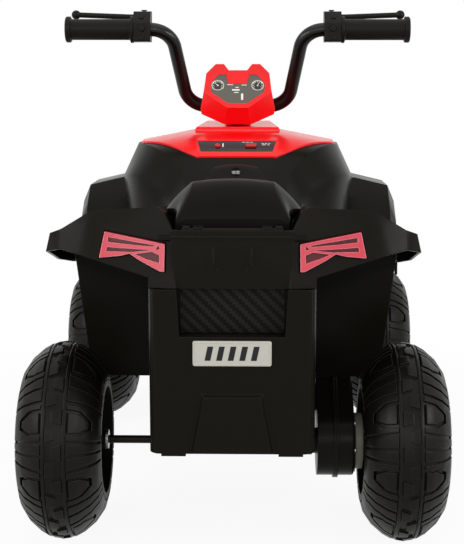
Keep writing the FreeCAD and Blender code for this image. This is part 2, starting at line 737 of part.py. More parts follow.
def front_axle():
    """Square beam with a fork at each end and two posts up to the nose floor."""
    beam_x = s.kingpin_x - SLEEVE_R - EAR_THICK / 2 - s.move_clear
    low = AXLE_Z - BEAM / 2
    parts = [slab((-beam_x, beam_x), (FRONT_Y - BEAM / 2, FRONT_Y + BEAM / 2), (low, low + BEAM))]
    for side in (-1, 1):
        fork_x = sorted((side * (beam_x - EAR_THICK), side * beam_x))
        parts.append(slab(fork_x, (FRONT_Y - BEAM / 2, FRONT_Y + BEAM / 2),
                          (EAR_LOW - EAR_THICK, EAR_HIGH + EAR_THICK)))
        for z in (EAR_LOW - EAR_THICK, EAR_HIGH):
            ear_x = sorted((side * (beam_x - EAR_THICK), side * s.kingpin_x))
            parts.append(slab(ear_x, (FRONT_Y - BEAM / 2, FRONT_Y + BEAM / 2), (z, z + EAR_THICK)))
            tip = Vector(side * s.kingpin_x, FRONT_Y, z)
            parts.append(rod(BEAM / 2, tip, tip + Vector(0, 0, EAR_THICK)))
        post_x = sorted((side * 0.3 * s.kingpin_x, side * 0.5 * s.kingpin_x))
        parts.append(slab(post_x, (FRONT_Y - BEAM / 2, FRONT_Y + BEAM / 2), (low + BEAM, s.nose_floor)))
    axle = fused(parts)
    for side in (-1, 1):
        pin = Vector(side * s.kingpin_x, FRONT_Y, 0)
        axle = axle.cut(rod(s.kingpin_dia / 2 + s.run_clear, pin, pin + Vector(0, 0, s.nose_floor)))
    piece("front_axle", axle)

    pins = []
    for hand, sign in (("left", "-"), ("right", "")):
        place = (sign + "kingpin_x", "(wheelbase - front_overhang) / 2")
        shank = bar("kingpin_" + hand, "kingpin_dia / 2", str(EAR_HIGH - EAR_LOW + 3 * EAR_THICK),
                    place + (str(EAR_LOW - 1.5 * EAR_THICK),), "Z")
        head = bar("kingpin_head_" + hand, "0.8 * kingpin_dia", str(EAR_THICK),
                   place + (str(EAR_HIGH + EAR_THICK),), "Z")
        pins.append(joined("Part::MultiFuse", "kingpin_whole_" + hand, [shank, head]))
    keep("kingpins", joined("Part::Compound", "kingpin_pair", pins))


def knuckle(side):
    """Sleeve on the kingpin with the wheel spindle outward and the steering arm backward."""
    centre = Vector(side * s.kingpin_x, FRONT_Y, 0)
    up = Vector(0, 0, 1)
    low = EAR_LOW + s.move_clear
    high = EAR_HIGH - s.move_clear
    sleeve = rod(SLEEVE_R, centre + up * low, centre + up * high)
    end_x = WHEEL_X + HUB_OUT + 1.25 * s.nut_length
    spindle = rod(AXLE_R, centre + up * AXLE_Z, Vector(side * end_x, FRONT_Y, AXLE_Z))
    collar_x = WHEEL_X - HUB_IN - s.move_clear
    collar = rod(s.hub_dia / 2, centre + up * AXLE_Z, Vector(side * collar_x, FRONT_Y, AXLE_Z))
    arm_z = s.tie_height - s.move_clear
    arm_x = (centre.x - s.tie_width / 2, centre.x + s.tie_width / 2)
    arm = slab(arm_x, (FRONT_Y - s.crank_reach, FRONT_Y), (arm_z - s.tie_thick, arm_z))
    tip = Vector(centre.x, FRONT_Y - s.crank_reach, arm_z - s.tie_thick)
    eye = rod(s.tie_width / 2, tip, tip + up * s.tie_thick)
    pin = rod(s.tie_pin_dia / 2, tip, tip + up * (2.5 * s.tie_thick + s.move_clear))
    whole = fused([sleeve, spindle, collar, arm, eye, pin])
    bore = rod(s.kingpin_dia / 2 + s.run_clear, centre + up * EAR_LOW, centre + up * EAR_HIGH)
    return whole.cut(bore)


def tie_rod():
    """Flat bar with an eye at each end and a slot for the crank pin in the middle."""
    y = FRONT_Y - s.crank_reach
    up = Vector(0, 0, s.tie_thick)
    parts = [slab((-s.kingpin_x, s.kingpin_x), (y - s.tie_width / 2, y + s.tie_width / 2),
                  (s.tie_height, s.tie_height + s.tie_thick))]
    holes = []
    for side in (-1, 1):
        eye = Vector(side * s.kingpin_x, y, s.tie_height)
        parts.append(rod(s.tie_width / 2, eye, eye + up))
        holes.append(rod(s.tie_pin_dia / 2 + s.run_clear, eye, eye + up))
    middle = Vector(0, y, s.tie_height)
    boss_y = 0.9 * s.tie_width
    parts += [rod(0.8 * s.tie_width, middle + Vector(0, k * boss_y / 3, 0),
                  middle + Vector(0, k * boss_y / 3, 0) + up)
              for k in (-1, 1)]
    slot_r = CRANK_PIN_R + 2 * s.move_clear
    for k in (-1, 1):
        end = middle + Vector(0, k * s.tie_thick, 0)
        holes.append(rod(slot_r, end, end + up))
    holes.append(slab((-slot_r, slot_r), (y - s.tie_thick, y + s.tie_thick),
                      (s.tie_height, s.tie_height + s.tie_thick)))
    return fused(parts).cut(holes)


def steering_column():
    """Rod along the raked axis with a crank plate and pin at its foot."""
    top = on_steer_axis(s.bar_height)
    plate_low = STEER_FOOT + STEER_AXIS * CRANK_LIFT
    shaft = rod(s.column_dia / 2, plate_low, top)
    thick = STEER_AXIS * 1.5 * s.tie_thick
    half = Vector(s.tie_width / 2, 0, 0)
    reach = CRANK_WAY * s.crank_reach
    plate = prism([plate_low - half, plate_low + half, plate_low + reach + half, plate_low + reach - half],
                  thick)
    ends = [rod(s.tie_width / 2, point, point + thick) for point in (plate_low, plate_low + reach)]
    pin_low = CRANK_POINT - STEER_AXIS * 2 * s.tie_thick
    pin = rod(CRANK_PIN_R, pin_low, plate_low + reach + thick)
    socket = rod(s.bar_dia / 2 + s.seat_clear / 2, top - Vector(s.bar_width, 0, 0),
                 top + Vector(s.bar_width, 0, 0))
    return fused([shaft, plate, pin] + ends).cut(socket)


def front_gear():
    """Everything that steers below the tank."""
    front_axle()
    for hand, side in (("left", -1), ("right", 1)):
        piece("knuckle_" + hand, knuckle(side))
        hub = WHEEL_X + HUB_OUT + s.move_clear
        start = Vector(side * hub, FRONT_Y, AXLE_Z)
        end = Vector(side * (hub + s.nut_length), FRONT_Y, AXLE_Z)
        cap = rod(0.55 * s.nut_width, start, end)
        piece("spindle_nut_" + hand, cap.cut(rod(AXLE_R + s.run_clear, start, end)))
    piece("tie_rod", tie_rod())
    piece("steering_column", steering_column())


front_gear()

# Lower body: rear box, spine, nose, footrests and wheel-well walls in one moulding

NOSE_STEP = s.wheelbase - WHEEL_R - s.well_gap
FENDER_Y = -(s.rear_reach - 5)
FACE_LEAN = 0.28
FACE_SWEEP = 0.15
PANEL_X = s.panel_width / 2
SOCKET_POINT = Vector(-SPINE_X, along(0.46 * s.wheelbase), 0.8 * s.sill_height)
SOCKET_R = 1.6 * s.socket_bore
BOSS_LENGTH = 34
BUSH_WALL = 3
WELL_SPREAD = 0.96
# Toe board above the footrest, at its outer and inner end
TOE_BOARD = (46, 62)


def across(points, half):
    """Prism symmetrical about the centre line over an outline of (along, z) pairs."""
    return prism([Vector(-half, along(a), z) for a, z in points], Vector(2 * half, 0, 0))


def fender_drop_at(a):
    """Height of the rear fender's top at a distance along."""
    rear_edge = FENDER_Y + FACE_LEAN * (s.fender_top - s.box_height)
    return s.fender_top - s.fender_drop * (a - rear_edge)


def fender_row(top, spread, deep):
    """Half section of the rear fender, inner foot to lip, as (x, z)."""
    edge = s.fender_reach * spread
    return [
        (PANEL_X, s.box_height),
        (PANEL_X + 5, top - 24),
        (PANEL_X + 14, top - 6),
        (PANEL_X + 24, top),
        (edge - 59, top - 6),
        (edge - 21, top - 28),
        (edge - 5, top - 33),
        (edge, top - 51 - deep),
        (edge - 21, top - 50 - deep),
        (BODY_X, s.box_height + 0.13 * (top - s.box_height)),
        (BODY_X, s.box_height),
    ]


def well_row(top, spread, clear):
    """Half section of the space under the fender, as (x, z)."""
    edge = s.fender_reach * spread - clear
    inset = s.wall + clear
    return [
        (BODY_X + clear, s.sill_height),
        (BODY_X + clear, top - inset),
        (edge - 60, top - 6 - inset),
        (edge - 23, top - 28 - inset),
        (edge - 8, top - 33 - inset),
        (edge - s.wall, top - 51),
        (edge - s.wall, s.sill_height),
    ]


def rear_face_y(x, z, forward=0.0):
    """Y of the sloping rear face of the fenders."""
    lean = FACE_LEAN * (z - s.box_height) + FACE_SWEEP * (abs(x) - PANEL_X)
    return along(FENDER_Y + lean + forward)


def box_shell():
    """Rear box, spine and nose as one open-topped tub."""
    back = -s.rear_reach
    box = slab((-BODY_X, BODY_X), (along(back), along(HOOD_Y)), (s.floor_height, s.box_height))
    box = softened(box, s.corner_radius, lambda edge: upright(edge) and edge.BoundBox.YMax < along(0))
    inside = slab(
        (s.wall - BODY_X, BODY_X - s.wall),
        (along(back) + s.wall, along(WELL_Y)),
        (s.floor_height + s.wall, s.box_height),
    )
    rise = s.nose_floor - s.floor_height
    side = [
        (WELL_Y, s.floor_height),
        (NOSE_STEP, s.floor_height),
        (NOSE_STEP + 0.7 * rise, s.nose_floor),
        (s.nose_end, s.nose_floor),
        (s.nose_end, s.sill_height),
        (WELL_Y, s.sill_height),
    ]
    spine = across(side, SPINE_X)
    hollow = [
        (WELL_Y - s.wall, s.floor_height + s.wall),
        (NOSE_STEP - s.wall / 2, s.floor_height + s.wall),
        (NOSE_STEP + 0.7 * rise - s.wall / 2, s.nose_floor + s.wall),
        (s.nose_end - s.wall, s.nose_floor + s.wall),
        (s.nose_end - s.wall, s.sill_height),
        (WELL_Y - s.wall, s.sill_height),
    ]
    shell = fused([box, spine]).cut([inside, across(hollow, SPINE_X - s.wall)])
    return shell


def recess_frame():
    """Box behind the rear recess, and the recess itself."""
    half = s.recess_width / 2
    back = along(-s.rear_reach)
    frame = slab(
        (-half - s.wall, half + s.wall),
        (back, back + s.recess_depth + s.wall),
        (s.recess_floor - s.wall, s.box_height),
    )
    sides = [Vector(x, back, z) for x, z in
             ((-half, s.recess_floor), (half, s.recess_floor), (half + 3, s.box_height + 1),
              (-half - 3, s.box_height + 1))]
    return frame, prism(sides, Vector(0, s.recess_depth, 0))


def rear_apron():
    """Raised trapezoid on the lower rear face, with the two feet beside it."""
    top = s.plate_low - 34
    low = s.floor_height + 2
    back = along(-s.rear_reach)

    def row(inset, y):
        xs = (37 - inset, 50 - inset)
        return [Vector(xs[0], y, top - inset), Vector(xs[1], y, low), Vector(-xs[1], y, low),
                Vector(-xs[0], y, top - inset)]

    apron = loft([row(0, back + 1), row(4, back - 5)])
    feet = []
    for side in (-1, 1):
        x = sorted((side * 0.56 * BODY_X, side * (BODY_X - s.corner_radius)))
        feet.append(slab(x, (back, back + 40), (s.floor_height - 3, s.floor_height + 1)))
    return [apron] + feet


def footrest(side):
    """Ribbed platform with a toe board, and the wheel-well wall behind it."""
    x = (SPINE_X - 1, s.foot_reach)
    y = (along(WELL_Y), along(WELL_Y + s.foot_length))
    low = s.foot_height - s.foot_depth
    board = slab(x, y, (low, s.foot_height))
    board = softened(board, 18, lambda edge: (upright(edge) and edge.BoundBox.XMin > x[1] - 1
                                              and edge.BoundBox.YMin > y[1] - 1))
    under = slab((x[0], x[1] - s.wall), (y[0] + s.wall, y[1] - s.wall), (low, s.foot_height - s.wall))
    ribs = []
    count = 7
    for i in range(count):
        rib_y = y[0] + (y[1] - y[0]) * (i + 1.5) / (count + 2)
        ribs.append(slab((x[0] + 34, x[1] - 14), (rib_y - 2, rib_y + 2),
                         (s.foot_height - 1, s.foot_height + 2)))
    toe_row = [(x[0], -1), (x[1] - 18, -1), (x[1] - 40, TOE_BOARD[0]), (x[0], TOE_BOARD[1])]
    toe = prism([Vector(tx, y[1] - s.wall, s.foot_height + tz) for tx, tz in toe_row], Vector(0, s.wall, 0))
    top = fender_drop_at(HOOD_Y)
    ledge = [(BODY_X - 1, low), (s.foot_reach - 16, low), (s.foot_reach - 9, s.foot_height + 33)]
    row = well_row(top, WELL_SPREAD, s.seat_clear)
    crown = [(row[6][0], s.sill_height + 30)] + row[5:0:-1]
    inner = [(row[1][0], s.box_height), (BODY_X - 1, s.box_height)]
    wall = prism([Vector(px, y[0], pz) for px, pz in ledge + crown + inner], Vector(0, s.wall, 0))
    shape = board.cut(under).fuse(ribs + [toe, wall])
    return shape if side > 0 else mirrored(shape)


def lower_body():
    """The whole tub with its axle hangers, motor hole and column boss."""
    frame, recess = recess_frame()
    parts = [box_shell(), frame] + rear_apron() + [footrest(side) for side in (-1, 1)]
    hanger_r = 1.12 * s.bush_dia
    for side in (-1, 1):
        x = sorted((side * (BODY_X - s.wall), side * BODY_X))
        parts.append(rod(hanger_r, at_x(AXLE_CENTRE, x[0]), at_x(AXLE_CENTRE, x[1])))
        parts.append(slab(x, (REAR_Y - hanger_r, REAR_Y + hanger_r), (AXLE_Z, s.floor_height + 2)))
    boss = rod(s.column_dia / 2 + 2 * BUSH_WALL, on_steer_axis(s.nose_floor - 20),
               on_steer_axis(s.nose_floor + BOSS_LENGTH))
    under_nose = slab((-SPINE_X, SPINE_X), (along(NOSE_STEP), along(s.nose_end)), (0, s.nose_floor))
    parts.append(boss.cut(under_nose))
    tub = fused(parts)
    cuts = [recess]
    cuts.append(rod(s.bush_dia / 2 + s.seat_clear / 4, at_x(AXLE_CENTRE, -BODY_X), at_x(AXLE_CENTRE, BODY_X)))
    cuts.append(rod(s.motor_dia / 2 + s.move_clear, at_x(MOTOR_CENTRE, BODY_X - 2 * s.wall),
                    at_x(MOTOR_CENTRE, CASE_X)))
    bush = s.column_dia / 2 + BUSH_WALL + s.seat_clear / 4
    cuts.append(rod(bush, on_steer_axis(s.nose_floor - 30), on_steer_axis(s.nose_floor + BOSS_LENGTH + 1)))
    cuts.append(rod(SOCKET_R, SOCKET_POINT, SOCKET_POINT + Vector(s.wall, 0, 0)))
    return tub.cut(cuts)


# Rear cover: both fenders, the rear panel and the seat deck

# Tail lamp in shares of the fender's rear face, from the upper outer corner inward
LAMP_OUTLINE = [
    (0.527, 0.683), (0.080, 0.551), (0.082, 0.213), (0.115, 0.217), (0.260, 0.340), (0.340, 0.423),
    (0.412, 0.392),
    (0.565, 0.363),
]
# Groove between the lamp and its recess
LAMP_GROOVE = 1.4
# Creases of the fender's rear face: two places in from its edge and down from its top,
# and the turn in degrees
FLARE_CREASES = [((47, 55), (59, 6), 14), ((20, 50), (21, 28), 26)]
HINGE_Y = FENDER_Y + 25
HINGE_Z = s.deck_height + 5
LUG_R = HINGE_Z - s.deck_height - s.move_clear
# Deck and rear panel carried into the inner slopes of the fenders
PANEL_HALF = PANEL_X + 1.5 * s.wall
DECK_HALF = PANEL_X + 5 * s.wall


def lamp_block(side, grow, back, front):
    """Tail lamp outline on the rear face, grown and swept between two depths."""
    width = s.fender_reach - PANEL_X
    height = s.fender_top - s.box_height
    points = []
    for a, h in LAMP_OUTLINE:
        x = PANEL_X + a * width
        z = s.box_height + h * height
        points.append(Vector(side * x, rear_face_y(x, z, back), z))
    face = Part.Face(outline(points))
    if grow > 0:
        face = face.makeOffset2D(grow, 2)
    return face.extrude(Vector(0, front - back, 0))


def flare_planes():
    """Planes that turn the outer rear face forward, one beyond each crease: point and outward normal."""
    point = Vector(PANEL_X, rear_face_y(PANEL_X, s.box_height), s.box_height)
    normal = Vector(FACE_SWEEP, -1, FACE_LEAN)
    planes = []
    for low, high, turn in FLARE_CREASES:
        ends = []
        for out, down in (low, high):
            x = s.fender_reach - out
            z = s.fender_top - down
            y = point.y + (normal.x * (x - point.x) + normal.z * (z - point.z)) / -normal.y
            ends.append(Vector(x, y, z))
        point = ends[0]
        normal = Rotation(ends[1] - ends[0], turn).multVec(normal)
        planes.append((point, normal))
    return planes


def fender(side):
    """One rear fender: outer form less the wheel space and the hollow over the box."""
    rows = []
    space = []
    for a, spread, deep in ((None, 1.0, 0), (0.25 * WELL_Y, 0.98, 16), (HOOD_Y, WELL_SPREAD, 24)):
        top = s.fender_top if a is None else fender_drop_at(a)
        for group, forward, row in (
            (rows, 0, fender_row(top, spread, deep)),
            (space, s.wall, well_row(top, spread, 0)),
        ):
            group.append([Vector(x, rear_face_y(x, z, forward) if a is None else along(a), z)
                          for x, z in row])
    hollow = []
    for a in (None, WELL_Y):
        top = (s.fender_top if a is None else fender_drop_at(a)) - s.wall
        corners = [
            (PANEL_X + s.wall, s.sill_height),
            (PANEL_X + s.wall + 5, top - 24),
            (PANEL_X + s.wall + 14, top - 7),
            (BODY_X - s.wall, top - 7),
            (BODY_X - s.wall, s.sill_height),
        ]
        hollow.append([Vector(x, rear_face_y(x, z, s.wall) if a is None else along(a), z)
                       for x, z in corners])
    planes = flare_planes()
    solid = loft(rows).cut([beyond(point, normal) for point, normal in planes])
    wheel_space = loft(space).cut([beyond(point + Vector(0, s.wall, 0), normal) for point, normal in planes])
    shape = solid.cut([wheel_space, loft(hollow), lamp_block(1, LAMP_GROOVE, -20, s.lamp_sunk)])
    return shape if side > 0 else mirrored(shape)


def rear_cover():
    """Fenders joined by the rear panel and the seat deck with its battery opening."""
    lean = FENDER_Y + 4
    panel = across(
        [
            (lean, s.box_height),
            (lean + 8, s.panel_top),
            (lean + 8 + s.wall, s.panel_top),
            (lean + s.wall, s.box_height),
        ],
        PANEL_HALF,
    )
    deck = slab(
        (-DECK_HALF, DECK_HALF),
        (along(lean + 6), along(HOOD_Y)),
        (s.deck_height - s.wall, s.deck_height),
    )
    bay = slab(
        (-s.bay_width / 2, s.bay_width / 2),
        (along(-0.3 * WELL_Y), along(0.85 * WELL_Y)),
        (s.sill_height, s.deck_height),
    )
    front = slab((-PANEL_HALF, PANEL_HALF), (along(WELL_Y), along(HOOD_Y)), (s.box_height, s.deck_height))
    wedges = []
    for side in (-1, 1):
        x = side * 0.32 * PANEL_X
        base = [(x - 5, 0.3), (x + 5, 0.3), (x + 2 * side, 0.72)]
        height = s.panel_top - s.box_height
        points = [Vector(px, along(lean + 8 * h), s.box_height + h * height) for px, h in base]
        ridge = Vector(x, along(lean + 8 * 0.45 - 4), s.box_height + 0.45 * height)
        wedges.append(pyramid(points, ridge))
    ears = []
    for side in (-1, 1):
        x = sorted((side * 0.76 * PANEL_X, side * 0.88 * PANEL_X))
        ear = slab(x, (along(HINGE_Y - 6), along(HINGE_Y + 6)), (s.deck_height - 1, HINGE_Z))
        ears += [ear, rod(6, Vector(x[0], along(HINGE_Y), HINGE_Z), Vector(x[1], along(HINGE_Y), HINGE_Z))]
    cover = fused([fender(1), fender(-1), panel, deck, front] + wedges + ears).cut(bay)
    pin = rod(s.hinge_pin_dia / 2 + s.run_clear, Vector(-PANEL_X, along(HINGE_Y), HINGE_Z),
              Vector(PANEL_X, along(HINGE_Y), HINGE_Z))
    return cover.cut(pin)


def pyramid(base, tip):
    """Solid between a triangle and a point."""
    faces = [Part.Face(outline(base))]
    for i in range(len(base)):
        faces.append(Part.Face(outline([base[i], base[(i + 1) % len(base)], tip])))
    return Part.makeSolid(Part.makeShell(faces))


piece("lower_body", lower_body())
piece("rear_cover", rear_cover())

# Front cover: black tank shell with knee bulges, and the red cover on top of it

# Stations from the seat to the nose. Shares of the hood's length, then of its half width and of its
# height over the sill for each corner: top flat, shoulder, knee, side
HOOD_STATIONS = [
    (0.00, (0.22, 0.60), (0.36, 0.56), (0.45, 0.45), (0.49, 0.24)),
    (0.07, (0.25, 0.72), (0.42, 0.68), (0.54, 0.53), (0.57, 0.26)),
    (0.14, (0.31, 0.86), (0.52, 0.82), (0.67, 0.63), (0.69, 0.28)),
    (0.22, (0.34, 0.97), (0.70, 0.915), (0.87, 0.69), (0.86, 0.29)),
    (0.35, (0.37, 1.00), (0.86, 0.91), (1.00, 0.66), (0.96, 0.28)),
    (0.51, (0.37, 0.97), (0.87, 0.885), (1.02, 0.61), (0.95, 0.27)),
    (0.70, (0.35, 0.83), (0.71, 0.75), (0.90, 0.50), (0.83, 0.25)),
    (0.90, (0.32, 0.60), (0.57, 0.53), (0.71, 0.34), (0.66, 0.19)),
    (1.00, (0.29, 0.42), (0.48, 0.36), (0.57, 0.23), (0.55, 0.14)),
]
HOOD_LENGTH = s.nose_end - HOOD_Y
HOOD_HALF = s.hood_width / 2
HOOD_HEIGHT = s.hood_top - s.sill_height


def hood_row(station, inset):
    """Closed section of the hood, moved inwards by the inset."""
    y = along(HOOD_Y + station[0] * HOOD_LENGTH)
    lean = (0.3, 0.7, 1.0, 1.0)
    drop = (1.0, 1.0, 0.3, 0.0)
    half = [
        Vector(x * HOOD_HALF - k * inset, y, s.sill_height + z * HOOD_HEIGHT - d * inset)
        for (x, z), k, d in zip(station[1:], lean, drop)
    ]
    half.append(Vector(SPINE_X - inset, y, s.sill_height))
    return both(half)


def hood_form(inset=0.0):
    """Smooth loft through the hood's stations."""
    rows = [outline(hood_row(station, inset)) for station in HOOD_STATIONS]
    return Part.makeLoft(rows, True, False, False, 3)


def tank_plan(grow):
    """Prism over the plan outline of the red cover."""
    reach = [(0.325 * HOOD_HALF + grow, 0.14), (0.40 * HOOD_HALF + grow, 0.158)]
    flare = [(0.62 * HOOD_HALF + grow, 0.226), (0.84 * HOOD_HALF + grow, 0.335)]
    nose = [(0.85 * HOOD_HALF + grow, 0.51), (0.72 * HOOD_HALF + grow, 0.70), (0.40 * HOOD_HALF + grow, 0.96)]

    def at(side, pair):
        return Vector(side * pair[0], along(HOOD_Y + pair[1] * HOOD_LENGTH), s.sill_height)

    edges = [Part.LineSegment(at(-1, reach[0]), at(1, reach[0])).toShape()]
    right = [reach[1], flare[1]] + nose
    edges.append(Part.LineSegment(at(1, reach[0]), at(1, reach[1])).toShape())
    edges.append(Part.Arc(at(1, reach[1]), at(1, flare[0]), at(1, flare[1])).toShape())
    for first, last in zip(right[1:], right[2:]):
        edges.append(Part.LineSegment(at(1, first), at(1, last)).toShape())
    edges.append(Part.LineSegment(at(1, nose[2]), at(-1, nose[2])).toShape())
    for first, last in zip(right[:0:-1], right[-2:0:-1]):
        edges.append(Part.LineSegment(at(-1, first), at(-1, last)).toShape())
    edges.append(Part.Arc(at(-1, flare[1]), at(-1, flare[0]), at(-1, reach[1])).toShape())
    edges.append(Part.LineSegment(at(-1, reach[1]), at(-1, reach[0])).toShape())
    return Part.Face(Part.Wire(edges)).extrude(Vector(0, 0, 2 * HOOD_HEIGHT))


def strip_plan(grow):
    """Prism over the control panel's plan outline."""
    rows = ((0.30 * HOOD_HALF + grow, 0.155 * HOOD_LENGTH - grow),
            (0.335 * HOOD_HALF + grow, 0.205 * HOOD_LENGTH + grow))
    points = []
    for (x, a), order in zip(rows, ((-1, 1), (1, -1))):
        points += [Vector(side * x, along(HOOD_Y + a), s.sill_height) for side in order]
    return prism(points, Vector(0, 0, 2 * HOOD_HEIGHT))


COLUMN_HOLE = s.column_dia / 2 + BUSH_WALL
COLLAR_Z = s.hood_top + s.skin + s.plate_rise
RING_Z = COLLAR_Z + s.neck_dia / 4


def column_path(radius):
    """Cylinder along the steering axis through the hood."""
    return rod(radius, on_steer_axis(s.sill_height), on_steer_axis(s.bar_height))


def front_body():
    """Black shell, red cover with its collar plate, and the control panel."""
    form = hood_form()
    span = slab((-HOOD_HALF, HOOD_HALF), (along(HOOD_Y + s.wall), along(s.nose_end - s.wall)),
                (0, s.hood_top))
    shell = form.cut(hood_form(s.wall).common(span))
    piece("front_cover", shell.cut(column_path(COLUMN_HOLE + 4)))

    raised = form.copy()
    raised.translate(Vector(0, 0, s.skin))
    red = raised.common(tank_plan(0)).cut(form)
    centre = on_steer_axis(COLLAR_Z)
    plate_half = 0.355 * HOOD_HALF
    reach = 1.6 * s.neck_dia

    def plate_row(grow, z):
        y = (centre.y - reach - grow, centre.y + reach + grow)
        x = plate_half + grow
        return [Vector(-x, y[0], z), Vector(x, y[0], z), Vector(0.8 * x, y[1], z), Vector(-0.8 * x, y[1], z)]

    collar = loft([plate_row(4, s.hood_top - 12), plate_row(2, COLLAR_Z - 3), plate_row(0, COLLAR_Z)])
    ring = rod(s.neck_dia / 2 + 1, on_steer_axis(s.hood_top), on_steer_axis(RING_Z))
    red = fused([red, collar.cut(form), ring.cut(form)])
    red = red.cut([strip_plan(s.seat_clear), column_path(COLUMN_HOLE + s.seat_clear / 4)])
    piece("tank_cover", red)

    panel = form.copy()
    panel.translate(Vector(0, 0, s.skin - 0.8))
    panel = panel.common(strip_plan(0)).cut(form)
    return form, panel


# Distance from the wheel's axle in wheel radii, and the fall in wheel diameters
FRONT_FENDER_ROWS = [(-1.48, -0.30), (-1.20, -0.10), (-0.85, 0.0), (0.0, -0.02), (0.75, -0.13), (1.12, -0.27)]


def front_fender(side, form):
    """Bent mudguard from the hood's side out over the front tyre."""
    rows = []
    for share, fall in FRONT_FENDER_ROWS:
        y = FRONT_Y + share * WHEEL_R
        top = s.front_fender_top + fall * s.wheel_dia
        edge = s.front_fender_reach
        skin = [(0.42 * edge, top), (edge - 60, top), (edge - 10, top - 12), (edge, top - 36),
                (edge, top - 62)]
        below = [(edge - s.wall, top - 62), (edge - s.wall, top - 37), (edge - 12.5, top - 15.5)]
        below += [(edge - 61, top - s.wall), (0.42 * edge, top - s.wall)]
        rows.append([Vector(x, y, z) for x, z in skin + below])
    shape = loft(rows).cut(form)
    shape = max(shape.Solids, key=lambda solid: solid.BoundBox.XMax)
    return shape if side > 0 else mirrored(shape)


def bumper():
    """Hollow front bumper with three slots, on the nose face."""
    start = along(s.nose_end)
    end = FRONT_Y + WHEEL_R + s.front_overhang

    def row(y, half, low, high):
        return [Vector(half, y, high), Vector(half + 8, y, (low + high) / 2), Vector(half - 12, y, low)]

    low, high = s.nose_floor + 4, s.sill_height - 4
    outer = [both(row(start, SPINE_X - 2, low, high)), both(row(end, SPINE_X - 22, low + 18, high - 34))]
    inner = [both(row(start, SPINE_X - 2 - s.wall, low + s.wall, high - s.wall)),
             both(row(end - s.wall, SPINE_X - 22 - s.wall, low + 18 + s.wall, high - 34 - s.wall))]
    shape = loft(outer).cut(loft(inner))
    slots = []
    for i in range(3):
        z = low + 36 + 12 * i
        slots.append(slab((-0.5 * SPINE_X, 0.5 * SPINE_X), (end - 2 * s.wall, end + 1), (z, z + 6)))
    return shape.cut(slots)


def headlamp(side):
    """Bevelled lens on the nose face of the front cover."""
    y = along(s.nose_end)

    def row(inset, forward):
        points = [(0.14, 0.09), (0.42, 0.12), (0.44, 0.25), (0.18, 0.31)]
        mid = (0.30, 0.19)
        return [
            Vector(side * (mid[0] + (a - mid[0]) * inset) * HOOD_HALF, y + forward,
                   s.sill_height + (mid[1] + (h - mid[1]) * inset) * HOOD_HEIGHT)
            for a, h in points
        ]

    return loft([row(1.0, 0), row(1.0, 4), row(0.8, 9)])


SLOPE = math.atan2(0.11 * HOOD_HEIGHT, 0.08 * HOOD_LENGTH)
SLOPE_SIN = math.sin(SLOPE)
SLOPE_COS = math.cos(SLOPE)
BUTTON_R = 4
ROCKER_X = 16
ROCKER_Y = 10
ROCKER_SUNK = 2
# Rocker seen from its end: up the slope and out of the panel, from its pivot
ROCKER_SIDE = [(-4.0, 6.2), (0, 4.4), (4.0, 6.2), (3.2, -2.5), (-3.2, -2.5)]


def panel_pieces(panel, form):
    """Control panel with a hole for its rocker and its power button, and those two pieces."""
    slope_a = 0.18 * HOOD_LENGTH
    out = Vector(0, -SLOPE_SIN, SLOPE_COS)
    uphill = Vector(0, SLOPE_COS, SLOPE_SIN)
    centre = surface_point(form, 0.0, along(HOOD_Y + slope_a))
    rocker_at = centre + Vector(0.12 * HOOD_HALF, 0, 0)
    button_at = centre - Vector(0.16 * HOOD_HALF, 0, 0)
    hole = rod(BUTTON_R + s.run_clear + 0.04, button_at - out * 12, button_at + out * 12)
    rocker_cut = tilted_block(rocker_at - out * 12, (ROCKER_X, ROCKER_Y, 24), uphill, out)
    panel = panel.cut([hole, rocker_cut])
    piece("control_panel", panel)
    shell = PIECES["front_cover"]
    wide = rod(BUTTON_R + 1, button_at - out * 14, button_at + out * 6)
    wide_rocker = tilted_block(rocker_at - out * 14, (ROCKER_X + 2, ROCKER_Y + 2, 18), uphill, out)
    shell.Shape = shell.Shape.cut([wide, wide_rocker])
    stem = rod(BUTTON_R, button_at - out * 9, button_at + out * 4.5)
    stem = softened(stem, 1, lambda edge: edge.CenterOfMass.z > button_at.z + 2)
    skirt = rod(BUTTON_R + 0.7, button_at - out * 9, button_at - out * 7)
    piece("power_button", fused([stem, skirt]))
    pivot = rocker_at - out * ROCKER_SUNK
    end = Vector(ROCKER_X / 2 - s.move_clear, 0, 0)
    paddle = prism([pivot - end + uphill * a + out * h for a, h in ROCKER_SIDE], end * 2)
    pins = rod(1.5, pivot - end - Vector(1, 0, 0), pivot + end + Vector(1, 0, 0))
    piece("direction_rocker", fused([paddle, pins]))


def surface_point(form, x, y):
    """Point on the hood straight above a plan position."""
    probe = Part.makeLine(Vector(x, y, s.sill_height + 2), Vector(x, y, 2 * s.hood_top))
    inside = form.common(probe)
    return Vector(x, y, inside.BoundBox.ZMax)


def tilted_block(base, spans, uphill, out):
    """Block with its foot centred on a point, raised along a slanted normal."""
    half_x = Vector(spans[0] / 2, 0, 0)
    half_y = uphill * (spans[1] / 2)
    corners = [base - half_x - half_y, base + half_x - half_y, base + half_x + half_y, base - half_x + half_y]
    return prism(corners, out * spans[2])


hood, strip = front_body()
panel_pieces(strip, hood)
for hand, side in (("left", -1), ("right", 1)):
    piece("front_fender_" + hand, front_fender(side, hood))
piece("headlamps", Part.makeCompound([headlamp(-1), headlamp(1)]))
piece("front_bumper", bumper())


# Seat: crowned moulding with a rear hump and a front tongue

